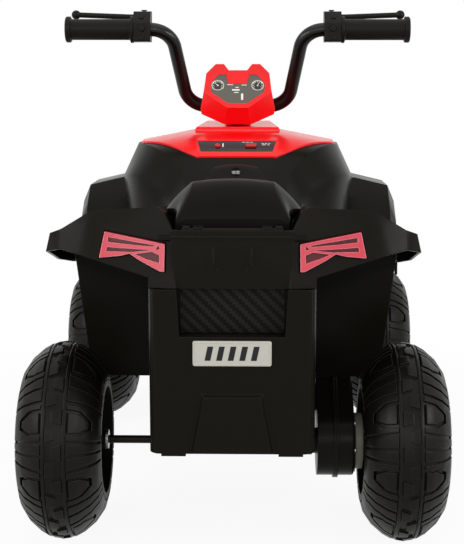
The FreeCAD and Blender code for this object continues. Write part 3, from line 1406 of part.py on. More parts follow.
# Shares of the seat's length and of its half width at the waist, the top height between dip (0) and
# hump (1), the share of the waist that is flat on top, and the waist's height as a share of the section
SEAT_STATIONS = [
    (0.00, 0.97, -0.30, 0.86, 0.62),
    (0.05, 0.98, 0.34, 0.80, 0.50),
    (0.13, 1.00, 0.95, 0.72, 0.42),
    (0.24, 1.16, 0.92, 0.64, 0.37),
    (0.45, 1.16, 0.22, 0.66, 0.45),
    (0.68, 1.08, 0.05, 0.62, 0.45),
    (0.86, 0.90, 0.36, 0.64, 0.30),
    (1.00, 0.62, 0.76, 0.70, 0.20),
]
SEAT_HALF = PANEL_X + 3


def seat_section(station):
    """Closed section: flat base, flared sides up to the waist, two shoulder arcs and a crown arc."""
    share, width, rise, flat, waist = station
    y = along(HINGE_Y + 8 + share * s.seat_length)
    half = width * (SEAT_HALF - s.move_clear)
    foot = min(1, width) * (SEAT_HALF - s.move_clear)
    top = s.deck_height + s.seat_dip + rise * (s.seat_hump - s.seat_dip)
    base = s.deck_height + 0.3
    side = base + waist * (top - base)
    crown = top - 0.07 * (top - base)
    flat_x = flat * half
    bulge = Vector(half - 0.40 * (half - flat_x), y, side + 0.52 * (crown - side))
    right = [Vector(foot, y, base), Vector(half, y, side), Vector(flat_x, y, crown)]
    left = [Vector(-p.x, p.y, p.z) for p in right]
    edges = [
        Part.LineSegment(left[0], right[0]).toShape(),
        Part.LineSegment(right[0], right[1]).toShape(),
        Part.Arc(right[1], bulge, right[2]).toShape(),
        Part.Arc(right[2], Vector(0, y, top), left[2]).toShape(),
        Part.Arc(left[2], Vector(-bulge.x, y, bulge.z), left[1]).toShape(),
        Part.LineSegment(left[1], left[0]).toShape(),
    ]
    return Part.Wire(edges)


def seat():
    """Seat with hinge lugs at the back, cut to sit over the hood's tail."""
    form = Part.makeLoft([seat_section(station) for station in SEAT_STATIONS], True, False)
    tail = hood.copy()
    tail.translate(Vector(0, 0, s.move_clear))
    form = form.cut(tail)
    lugs = []
    for side in (-1, 1):
        x = sorted((side * 0.52 * PANEL_X, side * 0.70 * PANEL_X))
        ring = rod(LUG_R, Vector(x[0], along(HINGE_Y), HINGE_Z), Vector(x[1], along(HINGE_Y), HINGE_Z))
        arm = slab(x, (along(HINGE_Y), along(HINGE_Y + 16)), (s.deck_height + 0.3, HINGE_Z + 4))
        lugs += [ring, arm]
    form = fused([form] + lugs)
    pin = rod(s.hinge_pin_dia / 2 + s.run_clear, Vector(-PANEL_X, along(HINGE_Y), HINGE_Z),
              Vector(PANEL_X, along(HINGE_Y), HINGE_Z))
    return form.cut(pin)


piece("seat", seat())

# Rear trim: tail lamps, number plate and the insert in the recess

# Dark slots of the lamp, in the outline's shares
LAMP_SLOTS = [
    [(0.501, 0.620), (0.395, 0.592), (0.149, 0.532), (0.168, 0.518), (0.339, 0.536), (0.502, 0.561)],
    [(0.505, 0.498), (0.406, 0.487), (0.172, 0.475), (0.315, 0.445), (0.513, 0.445)],
    [(0.298, 0.420), (0.172, 0.452), (0.120, 0.416), (0.119, 0.314), (0.218, 0.364)],
    [(0.146, 0.480), (0.124, 0.534), (0.117, 0.485)],
]


def tail_lamp(side):
    """Plated lamp body with its slots."""
    lamp = lamp_block(side, 0, -s.lamp_proud, s.lamp_sunk - s.seat_clear)
    width = s.fender_reach - PANEL_X
    height = s.fender_top - s.box_height
    slots = []
    for row in LAMP_SLOTS:
        points = []
        for a, h in row:
            x = PANEL_X + a * width
            z = s.box_height + h * height
            points.append(Vector(side * x, rear_face_y(x, z, -s.lamp_proud - 1), z))
        slots.append(prism(points, Vector(0, 1 + 0.8 * s.lamp_proud, 0)))
    return lamp.cut(slots)


def number_plate():
    """Rounded plate on the rear face under the recess."""
    body = doc.addObject("PartDesign::Body", "plate")
    half = "plate_width / 2"
    corners = [("-" + half, "0"), (half, "0"), (half, "plate_height"), ("-" + half, "plate_height")]
    pad = body.newObject("PartDesign::Pad", "plate_pad")
    pad.Profile = sketched(body, "plate_outline", "XZ_Plane", corners)
    bind(pad, "Length", "plate_thick")
    doc.recompute()
    round_off = body.newObject("PartDesign::Fillet", "plate_corners")
    ends = [
        "Edge%d" % (i + 1)
        for i, edge in enumerate(pad.Shape.Edges)
        if edge.BoundBox.XLength + edge.BoundBox.ZLength < 1e-6
    ]
    round_off.Base = (pad, ends)
    bind(round_off, "Radius", "plate_thick")
    bind(body, "Placement.Base.y", REAR_AT + " - rear_reach")
    bind(body, "Placement.Base.z", "plate_low")
    keep("number_plate", body)


def rear_insert():
    """Thin panel on the back wall of the recess."""
    half = s.recess_width / 2 - 1
    y = along(-s.rear_reach) + s.recess_depth
    return slab((-half, half), (y - 0.75 * s.wall, y), (s.recess_floor + 1, s.box_height - 1))


for hand, side in (("left", -1), ("right", 1)):
    piece("tail_lamp_" + hand, tail_lamp(side))
number_plate()
piece("rear_insert", rear_insert())

# Handlebar, grips, perches, levers and thumb buttons

BAR_CENTRE = on_steer_axis(s.bar_height)
GRIP_CENTRE = BAR_CENTRE + STEER_AXIS * (s.bar_rise / STEER_AXIS.z)
GRIP_X = s.bar_width / 2 - s.grip_length
PERCH_X = GRIP_X - s.perch_width - s.seat_clear
PIVOT_X = PERCH_X + s.perch_width / 2
LEVER_THICK = s.lever_dia - 1
EAR = 4
PIN_R = 2.5
THUMB_R = 4.5
BAR_END = 3


def bent_path(points, radius):
    """Wire of straight runs joined by tangent arcs."""
    edges = []
    start = points[0]
    for before, corner, after in zip(points, points[1:], points[2:]):
        back = (before - corner).normalize()
        ahead = (after - corner).normalize()
        half_turn = (math.pi - back.getAngle(ahead)) / 2
        reach = radius * math.tan(half_turn)
        first = corner + back * reach
        last = corner + ahead * reach
        inward = (back + ahead).normalize()
        middle = corner + inward * (radius / math.cos(half_turn) - radius)
        edges.append(Part.LineSegment(start, first).toShape())
        edges.append(Part.Arc(first, middle, last).toShape())
        start = last
    edges.append(Part.LineSegment(start, points[-1]).toShape())
    return Part.Wire(edges)


def bar_solid(radius):
    """Round solid along the handlebar's path."""
    end_x = s.bar_width / 2 - BAR_END
    row = [(-end_x, s.bar_rise), (-s.riser_high, s.bar_rise), (-s.riser_low, 0)]
    row += [(-x, t) for x, t in reversed(row)]
    points = [BAR_CENTRE + Vector(x, 0, 0) + STEER_AXIS * (t / STEER_AXIS.z) for x, t in row]
    path = bent_path(points, s.bar_bend)
    ring = Part.Wire(Part.makeCircle(radius, points[0], Vector(1, 0, 0)))
    return path.makePipeShell([ring], True, False)


def grip_body():
    """Rubber grip with a collar at each end, closed over the end of the tube."""
    bore = "bar_dia / 2 + seat_clear / 4"
    body = "grip_dia / 2"
    return turned(
        "grip",
        [
            ("0", bore),
            ("grip_length - %d" % BAR_END, bore),
            ("grip_length - %d" % BAR_END, "0"),
            ("grip_length", "0"),
            ("grip_length", "grip_dia / 2 + 2"),
            ("0.985 * grip_length", "grip_dia / 2 + 3.5"),
            ("0.93 * grip_length", "grip_dia / 2 + 3.5"),
            ("0.91 * grip_length", body),
            ("0.06 * grip_length", body),
            ("0.04 * grip_length", "grip_dia / 2 + 4"),
            ("0", "grip_dia / 2 + 4"),
        ],
    )


def beside_grip(x, ahead, above):
    """Point measured from the grip axis."""
    return Vector(x, GRIP_CENTRE.y + ahead, GRIP_CENTRE.z + above)


def perch(side):
    """Clamp block with two ears for the lever and a socket for the thumb button."""
    row = [(-15, -16), (12, -18), (20, -8), (22, s.lever_above - LEVER_THICK / 2 - EAR)]
    row += [(22, s.lever_above + LEVER_THICK / 2 + EAR), (-2, s.lever_above + LEVER_THICK / 2 + EAR),
            (-15, 10)]
    block = prism([beside_grip(PERCH_X, a, h) for a, h in row], Vector(s.perch_width, 0, 0))
    block = softened(block, 2.5, lambda edge: edge.BoundBox.XLength > s.perch_width - 1)
    ears = []
    for low in (s.lever_above - LEVER_THICK / 2 - EAR, s.lever_above + LEVER_THICK / 2 + 0.4):
        thick = Vector(0, 0, EAR - 0.4)
        pivot = beside_grip(PIVOT_X, s.lever_ahead - 2, low)
        ears.append(rod(9, pivot, pivot + thick))
        root = [beside_grip(PIVOT_X + dx, a, low)
                for dx, a in ((-9, 20), (9, 20), (9, s.lever_ahead - 2), (-9, s.lever_ahead - 2))]
        ears.append(prism(root, thick))
    shape = fused([block] + ears)
    pivot = beside_grip(PIVOT_X, s.lever_ahead - 2, -30)
    cuts = [rod(PIN_R + s.run_clear, pivot, pivot + Vector(0, 0, 80))]
    cuts.append(rod(s.bar_dia / 2 + s.seat_clear / 4, beside_grip(0, 0, 0), beside_grip(s.bar_width, 0, 0)))
    thumb = beside_grip(PIVOT_X, -15, 2)
    cuts.append(rod(THUMB_R + s.run_clear + 0.04, thumb, thumb + Vector(0, 4.4, 0)))
    slot = slab((PERCH_X - 1, PERCH_X + s.perch_width + 1),
                (GRIP_CENTRE.y + s.lever_ahead - 11.5, GRIP_CENTRE.y + 60),
                (GRIP_CENTRE.z + s.lever_above - LEVER_THICK / 2 - 0.4,
                 GRIP_CENTRE.z + s.lever_above + LEVER_THICK / 2 + 0.4))
    shape = shape.cut(cuts + [slot])
    return shape if side > 0 else mirrored(shape)


def lever(side):
    """Bent lever with a pivot boss and a ball end."""
    reach = s.bar_width / 2 - 10
    ahead = s.lever_ahead - 2
    points = [
        beside_grip(PIVOT_X, ahead, s.lever_above),
        beside_grip(PIVOT_X + 20, ahead + 7, s.lever_above),
        beside_grip(reach, ahead + 2, s.lever_above + 3),
    ]
    thin = LEVER_THICK / 2 - s.seat_clear
    arm = [rod(thin, points[0], points[1]), Part.makeSphere(thin, points[1]), rod(thin, points[1], points[2])]
    foot = points[0] - Vector(0, 0, LEVER_THICK / 2)
    boss = rod(8, foot, foot + Vector(0, 0, LEVER_THICK))
    ball = Part.makeSphere(0.72 * s.lever_dia, points[2])
    shape = fused(arm + [boss, ball])
    hole = rod(PIN_R + s.run_clear, foot, foot + Vector(0, 0, LEVER_THICK))
    shape = shape.cut(hole)
    return shape if side > 0 else mirrored(shape)


def lever_pin(side):
    """Pivot pin through both ears of a perch."""
    low = beside_grip(side * PIVOT_X, s.lever_ahead - 2, s.lever_above - LEVER_THICK / 2 - EAR)
    pin = rod(PIN_R, low, low + Vector(0, 0, LEVER_THICK + 2 * EAR + 1))
    head_z = Vector(0, 0, LEVER_THICK + 2 * EAR + 0.4)
    return fused([pin, rod(1.6 * PIN_R, low + head_z, low + head_z + Vector(0, 0, 1.6))])


def thumb_button(side):
    """Short round button in the rear face of a perch."""
    start = beside_grip(side * PIVOT_X, -18, 2)
    return softened(rod(THUMB_R, start, start + Vector(0, 5.2, 0)), 1,
                    lambda edge: edge.BoundBox.YMax < start.y + 0.1)


def handlebar():
    """Everything on the bar."""
    piece("handlebar", bar_solid(s.bar_dia / 2).cut(bar_solid(s.bar_dia / 2 - s.bar_wall)))
    grip = grip_body()
    doc.recompute()
    for hand, side, turn in (("left", -1, BACKWARDS), ("right", 1, Rotation())):
        place = Placement(Vector(side * GRIP_X, GRIP_CENTRE.y, GRIP_CENTRE.z), turn)
        piece("grip_" + hand, grip.Shape, place)
        piece("lever_perch_" + hand, perch(side))
        piece("brake_lever_" + hand, lever(side))
    piece("lever_pins", Part.makeCompound([lever_pin(-1), lever_pin(1)]))
    piece("horn_button", thumb_button(-1))
    piece("light_button", thumb_button(1))


handlebar()

# Dash: faceted housing on a neck, with a lens in its sloping face

DASH_TILT = math.radians(s.dash_tilt)
DASH_UP = Vector(0, math.sin(DASH_TILT), math.cos(DASH_TILT))
DASH_OUT = Vector(0, -math.cos(DASH_TILT), math.sin(DASH_TILT))
DASH_MID = BAR_CENTRE + Vector(0, -0.48 * s.dash_depth, 0.3 * s.dash_height)
# Half outline from behind: shares of half the width and of the height, ear to chin
DASH_OUTLINE = [
    (0.25, 0.31), (0.38, 0.415), (0.60, 0.415), (0.85, 0.26), (0.90, 0.0), (1.0, -0.335), (0.98, -0.43),
    (0.36, -0.585),
]
# Half outline of the display on the sloping face, in the same shares
DISPLAY_OUTLINE = [(0.24, 0.125), (0.32, 0.32), (0.52, 0.32), (0.735, 0.12), (0.71, -0.05), (0.26, -0.285)]
LENS_THICK = 2


def on_dash(x, rise):
    """Point of the sloping face by its sideways place and height over the middle."""
    return DASH_MID + Vector(x, rise * math.tan(DASH_TILT), rise)


def dash_display(inset, depth_from, depth_to):
    """Prism over the display's outline between two depths under the face."""
    half = s.dash_width / 2
    floor = DASH_MID - DASH_OUT * depth_from
    points = [floor + Vector(a * half, 0, 0) + DASH_UP * (h * s.dash_height) for a, h in DISPLAY_OUTLINE]
    face = Part.Face(outline(both(points)))
    if inset > 0:
        face = face.makeOffset2D(-inset, 2)
    return face.extrude(DASH_OUT * (depth_from - depth_to))


def dash():
    """Housing cut from its outline by the face and the lower facets, with the neck below."""
    half = s.dash_width / 2
    start = DASH_MID.y - s.dash_depth
    row = [Vector(a * half, start, DASH_MID.z + h * s.dash_height) for a, h in DASH_OUTLINE]
    block = prism(both(row), Vector(0, 2 * s.dash_depth, 0))
    low_edge = -0.285 * s.dash_height
    rim_side = on_dash(0.90 * half, -0.035 * s.dash_height)
    rim_low = on_dash(0.28 * half, low_edge)
    chin = Vector(0.36 * half, rim_low.y + 0.22 * s.dash_depth, DASH_MID.z - 0.585 * s.dash_height)
    side_normal = (rim_low - rim_side).cross(chin - rim_side)
    if side_normal.y > 0:
        side_normal = side_normal * -1
    front = Vector(0, DASH_MID.y + 0.78 * s.dash_depth, DASH_MID.z)
    cuts = [
        beyond(DASH_MID, DASH_OUT),
        beyond(rim_low, (Vector(1, 0, 0).cross(chin - rim_low - Vector(chin.x - rim_low.x, 0, 0))) * -1),
        beyond(rim_side, side_normal),
        beyond(front, Vector(0, 0.93, 0.37)),
        beyond(on_steer_axis(RING_Z + 2 * s.move_clear), STEER_AXIS * -1),
        beyond(front - Vector(0, 0, 0.3 * s.dash_height), Vector(0, 0.8, -0.6)),
    ]
    mirrored_side = Vector(-side_normal.x, side_normal.y, side_normal.z)
    cuts.append(beyond(Vector(-rim_side.x, rim_side.y, rim_side.z), mirrored_side))
    block = block.cut(cuts)
    neck = rod(s.neck_dia / 2, on_steer_axis(RING_Z + 2 * s.move_clear), on_steer_axis(s.bar_height - 6))
    shell = fused([block, neck])
    shell = shell.cut([
        dash_display(0, -1, LENS_THICK + 1),
        bar_solid(s.bar_dia / 2 + s.seat_clear),
        rod(s.column_dia / 2 + s.seat_clear, STEER_FOOT, on_steer_axis(s.bar_height)),
    ])
    piece("dash_housing", shell)
    piece("dash_lens", dash_display(s.seat_clear, LENS_THICK + 1, 1))


dash()

# Bushes of the steering column


def column_bush(low, high):
    """Plain sleeve on the steering axis between two heights."""
    outer = rod(s.column_dia / 2 + BUSH_WALL, on_steer_axis(low), on_steer_axis(high))
    return outer.cut(rod(s.column_dia / 2 + s.run_clear, on_steer_axis(low - 20), on_steer_axis(high + 20)))


piece("column_bushes", Part.makeCompound([
    column_bush(s.nose_floor + 2, s.nose_floor + BOSS_LENGTH),
    column_bush(COLLAR_Z - 16, RING_Z),
]))

# Battery, charging socket, foot pedal and seat screw


def battery():
    """Sealed battery standing on the floor of the box, with two terminals."""
    floor = s.floor_height + s.wall
    y = along(0.15 * WELL_Y)
    case = slab(
        (-s.battery_width / 2, s.battery_width / 2),
        (y - s.battery_length / 2, y + s.battery_length / 2),
        (floor, floor + s.battery_height),
    )
    case = softened(case, 3, upright)
    posts = []
    for side in (-1, 1):
        post_x = side * 0.3 * s.battery_width
        posts.append(slab((post_x - 3, post_x + 3), (y + 0.4 * s.battery_length, y + 0.45 * s.battery_length),
                          (floor + s.battery_height - 1, floor + s.battery_height + 6)))
    return fused([case] + posts)


def charge_socket():
    """Round jack in the left side of the spine."""
    bore = "socket_bore / 2"
    barrel = "1.6 * socket_bore - seat_clear / 4"
    jack = turned(
        "jack",
        [
            ("-2.5 * wall", "0"),
            ("-2.5 * wall", barrel),
            ("0", barrel),
            ("0", "2.2 * socket_bore"),
            ("0.4 * wall", "2.2 * socket_bore"),
            ("0.6 * wall", "1.6 * socket_bore"),
            ("0.6 * wall", bore),
            ("-2 * wall", bore),
            ("-2 * wall", "0"),
        ],
    )
    jack.Placement = Placement(SOCKET_POINT, BACKWARDS)
    keep("charge_socket", jack)


PEDAL_X = (SPINE_X + s.foot_reach) / 2 + 6
PEDAL_Y = WELL_Y + 0.38 * s.foot_length
PEDAL_PIN_R = 3
PEDAL_Z = s.foot_height + 8


def foot_pedal():
    """Ribbed plate that rises forward from its pivot."""
    half = s.pedal_width / 2
    slope = math.asin(s.pedal_lift / s.pedal_length)
    ahead = Vector(0, math.cos(slope), math.sin(slope))
    square = Vector(0, -math.sin(slope), math.cos(slope))
    pivot = Vector(PEDAL_X - half, along(PEDAL_Y), PEDAL_Z)
    base = pivot - square * 2
    plate = prism([base, base + ahead * s.pedal_length, base + ahead * s.pedal_length + square * 5,
                   base + square * 5],
                  Vector(2 * half, 0, 0))
    ribs = []
    for i in range(5):
        rib = base + square * 4 + ahead * (0.3 + 0.14 * i) * s.pedal_length + Vector(5, 0, 0)
        ribs.append(prism([rib, rib + ahead * 4, rib + ahead * 4 + square * 2.5, rib + square * 2.5],
                          Vector(2 * half - 10, 0, 0)))
    barrel = rod(PEDAL_PIN_R + 3, pivot, pivot + Vector(2 * half, 0, 0))
    shape = fused([plate, barrel] + ribs)
    return shape.cut(rod(PEDAL_PIN_R + s.run_clear, pivot, pivot + Vector(2 * half, 0, 0)))


def pedal_ears():
    """Two ears on the footrest that hold the pedal's pin."""
    shapes = []
    for side in (-1, 1):
        x = sorted((PEDAL_X + side * (s.pedal_width / 2 + s.move_clear),
                    PEDAL_X + side * (s.pedal_width / 2 + 5)))
        shapes.append(slab(x, (along(PEDAL_Y) - 6, along(PEDAL_Y) + 6), (s.foot_height - 1, PEDAL_Z)))
        shapes.append(rod(6, Vector(x[0], along(PEDAL_Y), PEDAL_Z), Vector(x[1], along(PEDAL_Y), PEDAL_Z)))
    return shapes


def pedal_pin(radius):
    """Pin through the pedal and both ears."""
    half = s.pedal_width / 2 + 5
    return rod(radius, Vector(PEDAL_X - half, along(PEDAL_Y), PEDAL_Z),
               Vector(PEDAL_X + half, along(PEDAL_Y), PEDAL_Z))


tub = PIECES["lower_body"]
tub.Shape = tub.Shape.fuse(pedal_ears()).removeSplitter().cut(pedal_pin(PEDAL_PIN_R + s.run_clear))
piece("foot_pedal", foot_pedal())
hinge_pin = bar(
    "hinge_pin", "hinge_pin_dia / 2", "0.9 * panel_width",
    ("-0.45 * panel_width", "%.6f" % along(HINGE_Y), "%.6f" % HINGE_Z),
)
doc.recompute()
piece("pivot_pins", Part.makeCompound([hinge_pin.Shape, pedal_pin(PEDAL_PIN_R)]))
piece("battery", battery())
charge_socket()

SCREW_R = 3
SCREW_Y = along(HINGE_Y + 8 + 0.9 * s.seat_length)


def seat_screw():
    """Captive screw in the seat's tongue; its end drops into the hood."""
    cushion = PIECES["seat"]
    cover = PIECES["front_cover"]
    top = surface_point(cushion.Shape, 0, SCREW_Y)
    floor = surface_point(hood, 0, SCREW_Y)
    up = Vector(0, 0, 1)
    head = rod(2 * SCREW_R, top - up * 3, top + up * 0.5)
    slot = slab((-2 * SCREW_R, 2 * SCREW_R), (SCREW_Y - 0.6, SCREW_Y + 0.6), (top.z - 0.7, top.z + 1))
    shank = rod(SCREW_R, floor - up * 8, top)
    cushion.Shape = cushion.Shape.cut([
        rod(2 * SCREW_R + s.seat_clear, top - up * 3, top + up * 5),
        rod(SCREW_R + s.seat_clear, floor - up * 8, top),
    ])
    cover.Shape = cover.Shape.cut(rod(SCREW_R + 1.2, floor - up * 12, floor + up * 12))
    piece("seat_screw", fused([shank, head]).cut(slot))


seat_screw()

# Check and export

doc.recompute()
for obj in doc.Objects:
    if "Invalid" in obj.State or "Error" in obj.State:
        raise RuntimeError("%s failed: %s" % (obj.Name, obj.State))
for label, obj in PIECES.items():
    if obj.Shape.isNull() or not obj.Shape.isValid():
        raise RuntimeError("%s has no valid shape" % label)
os.makedirs("parts", exist_ok=True)
for label, obj in PIECES.items():
    obj.Shape.exportStep("parts/%s.step" % label)
print("%d pieces" % len(PIECES))
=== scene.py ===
"""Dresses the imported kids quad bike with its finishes, small trim and a plain studio."""

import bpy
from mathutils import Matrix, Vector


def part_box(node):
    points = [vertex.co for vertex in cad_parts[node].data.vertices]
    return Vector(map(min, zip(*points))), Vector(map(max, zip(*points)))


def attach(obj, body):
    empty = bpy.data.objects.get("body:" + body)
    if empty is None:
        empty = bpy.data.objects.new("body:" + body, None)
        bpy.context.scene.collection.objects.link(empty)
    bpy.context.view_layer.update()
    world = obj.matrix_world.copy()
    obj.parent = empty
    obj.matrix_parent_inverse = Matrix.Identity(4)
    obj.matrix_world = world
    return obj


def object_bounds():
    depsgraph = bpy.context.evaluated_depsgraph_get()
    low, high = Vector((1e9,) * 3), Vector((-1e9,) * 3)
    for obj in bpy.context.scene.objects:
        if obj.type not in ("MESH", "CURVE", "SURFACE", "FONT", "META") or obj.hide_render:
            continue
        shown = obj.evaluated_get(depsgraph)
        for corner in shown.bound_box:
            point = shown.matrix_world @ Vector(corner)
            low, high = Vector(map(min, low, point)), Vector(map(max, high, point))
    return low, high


bl_info = {
    "name": "Kids Quad Bike Finishes",
    "version": (1, 0, 0),
    "blender": (4, 5, 0),
    "location": "View3D > Sidebar > Quad Bike",
    "description": "Moulded finishes, dash and plate trim and a plain studio for the packed quad bike",
    "category": "Object",
}

import functools
import math

import bmesh
import bpy
from bpy.props import FloatProperty, FloatVectorProperty, PointerProperty
from mathutils import Matrix, Vector
from mathutils.bvhtree import BVHTree

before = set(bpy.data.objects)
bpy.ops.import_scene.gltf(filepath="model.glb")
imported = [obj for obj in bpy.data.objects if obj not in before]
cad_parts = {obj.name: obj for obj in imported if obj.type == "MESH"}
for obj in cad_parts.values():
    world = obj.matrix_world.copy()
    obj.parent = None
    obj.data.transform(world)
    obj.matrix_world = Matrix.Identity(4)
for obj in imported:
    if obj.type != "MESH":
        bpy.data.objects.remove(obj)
CAD_BOX = [list(corner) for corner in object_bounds()]
SIDES = (("left", -1), ("right", 1))
# places just outside the quad, from which trim is set down on it, in metres
BEHIND = CAD_BOX[0][1] - 0.1
AHEAD = CAD_BOX[1][1] + 0.1
BESIDE = CAD_BOX[1][0] + 0.1
ABOVE = CAD_BOX[1][2] + 0.1
# how far trim is sunk into what carries it, and how far its edges slope, in metres
SUNK = 0.0002
DEEP = 0.0003
SLOPE = 0.0001
# slots of the right tail lamp, as X and Z in millimetres
LAMP_SLOTS = (
    ((146.1, 395.0), (129.1, 392.5), (89.9, 386.9), (93.0, 385.7), (120.2, 387.3), (146.4, 389.6)),
    ((146.9, 383.8), (131.0, 382.8), (93.6, 381.7), (116.4, 378.9), (148.1, 378.9)),
    ((113.7, 376.6), (93.6, 379.6), (85.3, 376.3), (85.1, 366.9), (101.0, 371.5)),
    ((89.4, 382.2), (85.9, 387.1), (84.8, 382.6)),
)
# outline of a thumb key, in millimetres
KEY = ((-3.5, -2.2), (-2.4, -3.2), (2.4, -3.2), (3.5, -2.2), (3.5, 2.2), (2.4, 3.2), (-2.4, 3.2),
       (-3.5, 2.2))
# plain bars of the display: place and spans across and up it, in millimetres
DISPLAY_BARS = (((-10.8, 7.8), (8.4, 1.2)), ((9.2, 7.2), (7.6, 1.2)), ((-2.7, -1.5), (10.6, 2.4)),
                ((-0.9, 3.0), (4.4, 1.4)), ((-1.8, -6.0), (6.4, 1.4)), ((6.5, -13.5), (3.0, 11.0)))
# plain bars of the control panel: place along X and Y and spans, in millimetres
PANEL_BARS = (((-19.0, -57.0), (1.8, 9.0)), ((9.5, -49.5), (4.0, 1.1)), ((15.0, -49.5), (4.0, 1.1)),
              ((20.5, -49.5), (4.0, 1.1)), ((36.0, -52.5), (3.4, 1.2)), ((40.5, -52.5), (3.4, 1.2)),
              ((45.0, -52.5), (2.4, 1.2)), ((37.5, -56.0), (5.6, 1.2)), ((43.5, -56.0), (3.4, 1.2)))
# half sections of a headlamp's dome and ring: radius and height in millimetres
HEADLAMP_DOME = ((0, 2.2), (4, 1.9), (7, 1.1), (9, -0.3))
HEADLAMP_RING = ((9, -0.3), (9, 0.6), (9.8, 1.2), (11.2, 1.2), (12.2, 0.4), (12.2, -0.3))
# base and blade of a battery terminal: width, depth and height in millimetres
TERMINAL = ((11, 9, 1.6), (6.3, 0.8, 7.5))
# screws of the gearbox case: Y and Z in millimetres
CASE_SCREWS = ((-315.1, 153.9), (-329.0, 124.0), (-315.1, 94.1), (-283.2, 85.6), (-260.1, 98.9),
               (-232.7, 183.8))


def linear(code):
    """An sRGB hex colour as linear red, green and blue."""
    parts = [int(code[i:i + 2], 16) / 255 for i in (1, 3, 5)]
    return [p / 12.92 if p <= 0.04045 else ((p + 0.055) / 1.055) ** 2.4 for p in parts]


def tint(name, description, code):
    """A colour that the user can change, given as sRGB hex."""
    return FloatVectorProperty(name=name, description=description, default=linear(code),
                               subtype="COLOR", min=0, max=1)


def size(name, description, mm):
    """A length that the user can change, given in millimetres."""
    return FloatProperty(name=name, description=description, default=mm / 1000, min=0,
                         unit="LENGTH", precision=5)


class QuadColours(bpy.types.PropertyGroup):
    """Colours of the finishes."""

    body: tint("Body", "Black polypropylene of the body, covers and fenders", "#11100B")
    # painted highlight, partly rubbing wear: the paler colour that the edges of the black mouldings are
    # painted in
    body_edge_wear_and_highlight: tint("Body edge wear and highlight", "Rubbed edges of the black mouldings", "#3A3731")
    red: tint("Red", "Red ABS of the tank cover and dash housing", "#EC0A10")
    # painted highlight: the paler red that the edges of the red mouldings are painted in
    red_edge_highlight: tint("Red edge highlight", "Thin, paler edges of the red mouldings", "#FF4A55")
    seat: tint("Seat", "Satin black of the seat", "#0E0C0A")
    tyre: tint("Tyres", "Matt black of the moulded tyres", "#0E0C0A")
    # painted highlight, partly rubbing wear: the paler colour that the edges of the tread blocks are painted
    # in
    tyre_edge_wear_and_highlight: tint("Tread edge wear and highlight", "Rubbed edges of the tread blocks", "#3C3A34")
    rim: tint("Rims", "Black of the moulded rims", "#0F0E0C")
    rim_worn: tint("Rim edges", "Rubbed edges of the rims", "#1F1D1A")
    panel: tint("Control panel", "Gloss black of the control panel", "#1A0B09")
    button: tint("Buttons", "Red of the push buttons", "#B01018")
    tube: tint("Tube", "Black powder coat of the handlebar", "#0C0A09")
    rubber: tint("Rubber", "Black of the grips", "#12100E")
    lamp: tint("Tail lamp", "Pearl pink-red of the tail lamps", "#BC3A47")
    # painted highlight: the pale pink that the edges of the tail lamps are painted in
    lamp_edge_highlight: tint("Tail lamp edge highlight", "Pale edges of the tail lamps", "#F4B4C4")
    # painted shade, partly a darker lens: the dark red laid into the tail lamps' slots
    lamp_slot_lens_and_shade: tint("Lamp slot lens and shade", "Dark red between the bars of the tail lamps", "#48090F")
    clear: tint("Headlamp", "Clear headlamp lenses", "#DDE3E8")
    smoke: tint("Display", "Smoked cover of the dash", "#4E4A40")
    mark: tint("Marks", "Pale printed marks and dial ticks", "#E4E0D6")
    bezel: tint("Bezels", "Plated gauge rings", "#B9B4A8")
    plate: tint("Plate", "Silver number plate", "#C4C2B8")
    plate_bar: tint("Plate bars", "Plain dark bars on the plate", "#0C0D12")
    steel: tint("Steel", "Zinc plate of nuts, knuckles and the tie rod", "#A9A9A6")
    black_steel: tint("Blackened steel", "Black oxide of axles and pins", "#24211E")
    coupling: tint("Coupling", "Grey acetal of the drive coupling", "#6B6A60")
    brass: tint("Brass", "Machined pinion", "#C9A65A")
    nylon: tint("Nylon", "Natural nylon of gears and bushes", "#B4B2A8")
    battery: tint("Battery", "Grey ABS of the battery case", "#5A5B5E")
    floor: tint("Floor", "Pale studio floor", "#F4F4F2")


class QuadSizes(bpy.types.PropertyGroup):
    """Sizes of grain, edges and small trim."""

    grain: size("Body grain", "Grain of the black mouldings", 2.2)
    edge: size("Edge rounding", "Rounding that moulded edges show", 1.6)
    seat_grain: size("Seat grain", "Pebble of the seat moulding", 3.2)
    weave: size("Weave", "Width of one strand of the carbon-look weave", 3.6)
    gauge: size("Gauge", "Outside radius of a gauge ring", 9.3)
    gauge_spread: size("Gauge spread", "From the middle of the dash to a gauge", 28.6)
    gauge_rise: size("Gauge rise", "Of the gauges above the middle of the display", 6.5)
    mark_height: size("Mark height", "Of printed marks above their surface", 0.3)
    plate_rim: size("Plate rim", "Width of the raised rim of the plate", 1.5)
    bar_height: size("Plate bar", "Height of a bar on the plate", 17)
    bar_width: size("Plate bar width", "Width of a bar on the plate", 6.8)
    bar_pitch: size("Plate bar pitch", "From one bar on the plate to the next", 13.5)
    bar_slant: size("Plate bar slant", "How far a bar's ends lean from its middle", 1.8)
    key_spread: size("Key spread", "From the middle of the quad to the thumb keys", 133.5)
    key_low: size("Lower key", "Height of the lower thumb keys above the ground", 618.5)
    key_high: size("Upper key", "Height of the upper thumb keys above the ground", 646.5)
    headlamp_spread: size("Headlamp spread", "From the middle of the quad to a headlamp's dome", 49)
    headlamp_rise: size("Headlamp rise", "Height of the headlamps' domes above the ground", 335)
    screw: size("Screw", "Radius of a case screw's head", 2.4)


